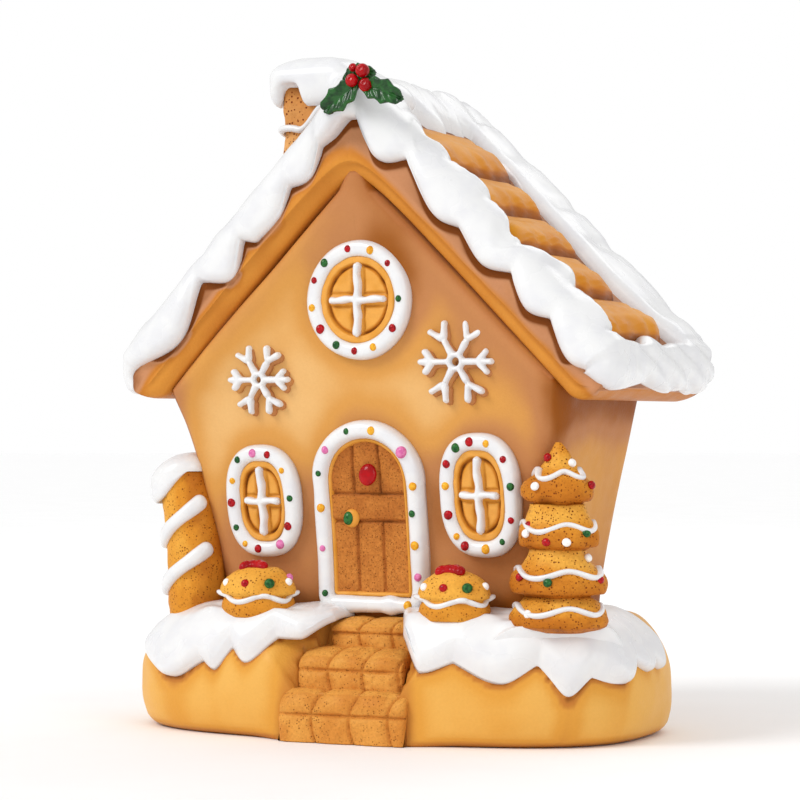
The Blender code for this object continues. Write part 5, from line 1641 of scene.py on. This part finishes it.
def make_bushes():
    for name in ("left", "right"):
        low, high = node_box(f"bush_{name}_body")
        centre, half = (low + high)[:2] / 2, 0.94 * (high[0] - low[0]) / 2
        foot, top = low[2] - 0.6, high[2]
        waist = mix(foot, top, 0.42)
        profile = [(half * mix(0.2, 0.86, t), foot) for t in np.linspace(0, 1, 6)]
        profile += [(half * (0.86 + 0.1 * math.sin(math.pi * t)), mix(foot, waist, t))
                    for t in np.linspace(0.05, 1, 12)]
        profile += [(half * math.cos(t) ** 0.8, waist + (top - waist) * math.sin(t) + 0.5)
                    for t in np.linspace(0.05, 1.5, 22)]
        points = revolve(profile, lambda z: centre, TREE_DEPTH, foot=snow_top)
        points = roughen(points, (centre[0], centre[1], foot), 0.7, 5.0, 91)
        points[..., 2] = np.minimum(points[..., 2], top)

        def shade(at, normals, waist=waist):
            # painted shade below the waist, under the bun's bulge
            lower = smooth((waist + 1.0 - at[:, 2]) / 3.0)
            return 0.1 + 0.3 * lower + 0.2 * noise(at, 6.0, 92)

        add_piece(f"bun_bush_{name}", tube(points), CRUMB_PAINT, [f"bush_{name}_body"], shade)
        sizes, heights = np.array(profile).T

        def radius_at(z, heights=heights, sizes=sizes):
            return np.interp(z, heights, sizes) - 0.2

        line = piping_round(centre, radius_at, waist - 0.5, 1.2)
        add_piece(f"bun_bush_{name}_piping", line, ICING_PAINT, [f"bush_{name}_piping"])
        jelly_low, jelly_high = node_box(f"bush_{name}_jelly")
        jelly = (jelly_low + jelly_high) / 2 - (0.0, 0.0, 1.0)
        lumps = [jelly + (dx, -1.5 - 0.5 * abs(dx), 0.1 - 0.14 * abs(dx)) for dx in
                 (-3.6, -1.2, 1.3, 3.4)]
        shape = blobs(lumps, [(0.1 * k, -0.5, 1.0) for k in (-2, -1, 1, 2)],
                      [(2.1, 2.6, 1.7), (2.3, 2.3, 1.8), (2.2, 2.6, 1.8), (2.0, 2.3, 1.7)], 24, 14)
        add_piece(f"bun_bush_{name}_jelly", melt([shape], 0.3, 12), BERRY_PAINT,
                  [f"bush_{name}_jelly"])
        tops = top - foot
        place_candy("red", centre, radius_at, foot + 0.7 * tops, -24, 1.5)
        place_candy("green", centre, radius_at, foot + 0.7 * tops, 16, 1.9)
        place_candy("white", centre, radius_at, foot + 0.72 * tops, 58, 1.5)
        place_candy("white", centre, radius_at, foot + 0.7 * tops, -66, 1.5)
        if name == "left":
            place_candy("pink", centre, radius_at, foot + 0.8 * tops, 76, 1.5)


# sugar dots on the tree: (tier, height share, turn)
TREE_CANDY = {"red": ((1, 0.75, -62), (1, 0.3, 62), (2, 0.52, -62), (2, 0.16, -24), (3, 0.4, -62),
                      (3, 0.36, 52)),
              "green": ((2, 0.36, 36), (3, 0.3, -20)),
              "white": ((1, 0.66, 52), (1, 0.28, -48), (2, 0.34, -60), (2, 0.16, 4),
                        (4, 0.5, -48), (3, 0.82, 60))}


def make_tree():
    for number in (1, 2, 3, 4):
        low, high = node_box(f"tree_tier_{number}")
        centre = ((low + high) / 2)[:2]
        skirt = (high[0] - low[0]) / 2 * (1.0, 0.93, 0.92, 0.95)[number - 1]
        neck = (0.6, 9.0, 10.0, 11.5)[number - 1]
        bottom, top = low[2], high[2]
        if number == 4:
            outline = ((-0.1, -0.4), (0.0, 0.4), (0.08, 0.8), (0.26, 0.98), (0.6, 0.75), (1.0, 0.0))
        elif number == 1:
            outline = ((-0.1, 0.5), (0.03, 0.66), (0.02, 0.84), (0.1, 0.98), (0.22, 1.02),
                       (0.34, 0.94), (0.45, 0.7), (0.56, 0.5), (0.78, 0.3), (1.0, 0.02))
        else:
            outline = ((-0.1, -0.1), (0.04, 0.6), (0.02, 0.84), (0.09, 0.97), (0.24, 1.04),
                       (0.4, 0.96), (0.52, 0.7), (0.64, 0.4), (0.82, 0.15), (1.0, 0.0))
        steps = np.linspace(0, len(outline) - 1, 46)
        rise = np.interp(steps, range(len(outline)), [p[0] for p in outline])
        fat = np.interp(steps, range(len(outline)), [p[1] for p in outline])
        soft = np.array((1, 2, 3, 2, 1)) / 9.0
        rise[2:-2], fat[2:-2] = np.convolve(rise, soft, "valid"), np.convolve(fat, soft, "valid")
        profile = [(mix(neck, skirt, f), mix(bottom, top, r)) for r, f in zip(rise, fat)]
        points = revolve(profile, lambda z: centre, TREE_DEPTH)
        points = roughen(points, (centre[0], centre[1], bottom), 1.0, 6.5, 93 + number)
        points = roughen(points, (centre[0], centre[1], bottom), 0.25, 2.0, 98)
        points[..., 2] = np.minimum(points[..., 2], top)

        def shade(at, normals, bottom=bottom, top=top):
            # painted shade on the lower part of each tier, under its bulge, darkest at its foot
            t = (at[:, 2] - bottom) / (top - bottom)
            brown = mix(0.62, 0.16, smooth((t - 0.3) / 0.4)) + 0.2 * halo(t, 0.12)
            return brown + 0.2 * noise(at, 6.0, 99)

        add_piece(f"tree_skirt_{number}", tube(points), TREE_PAINT, [f"tree_tier_{number}"], shade)
        pipe_low, pipe_high = node_box(f"tree_piping_{number}")
        level = 46.8 if number == 4 else (pipe_low[2] + pipe_high[2]) / 2
        heights, sizes = mix(bottom, top, rise[20:]), mix(neck, skirt, fat[20:])

        def radius_at(z, heights=heights, sizes=sizes):
            return np.interp(z, heights, sizes) - 0.2

        line = piping_round(centre, radius_at, level, 1.3)
        add_piece(f"tree_icing_{number}", line, ICING_PAINT, [f"tree_piping_{number}"])
        for tint, places in TREE_CANDY.items():
            for tier, share, turn in places:
                if tier == number:
                    place_candy(tint, centre, radius_at, mix(bottom, top, share), turn, 1.6)


DOT_SLOTS = {"red": "berry_red", "green": "candy_green", "yellow": "candy_green",
             "pink": "berry_red", "white": "icing"}


def make_dots():
    for tint, spots in dots.items():
        if spots:
            add_piece(f"sugar_dots_{tint}", blobs(*zip(*spots), 18, 10), CANDY_PAINTS[tint],
                      DOT_SLOTS[tint])


make_studio()
make_mound()
make_walls()
make_roof()
make_tiles()
make_roof_icing()
make_chimney()
make_holly()
make_window("window_round", 2.0)
make_window("window_left", 2.6)
make_window("window_right", 2.6)
make_door()
make_snowflakes()
make_steps()
make_snow()
make_column()
make_bushes()
make_tree()
make_dots()
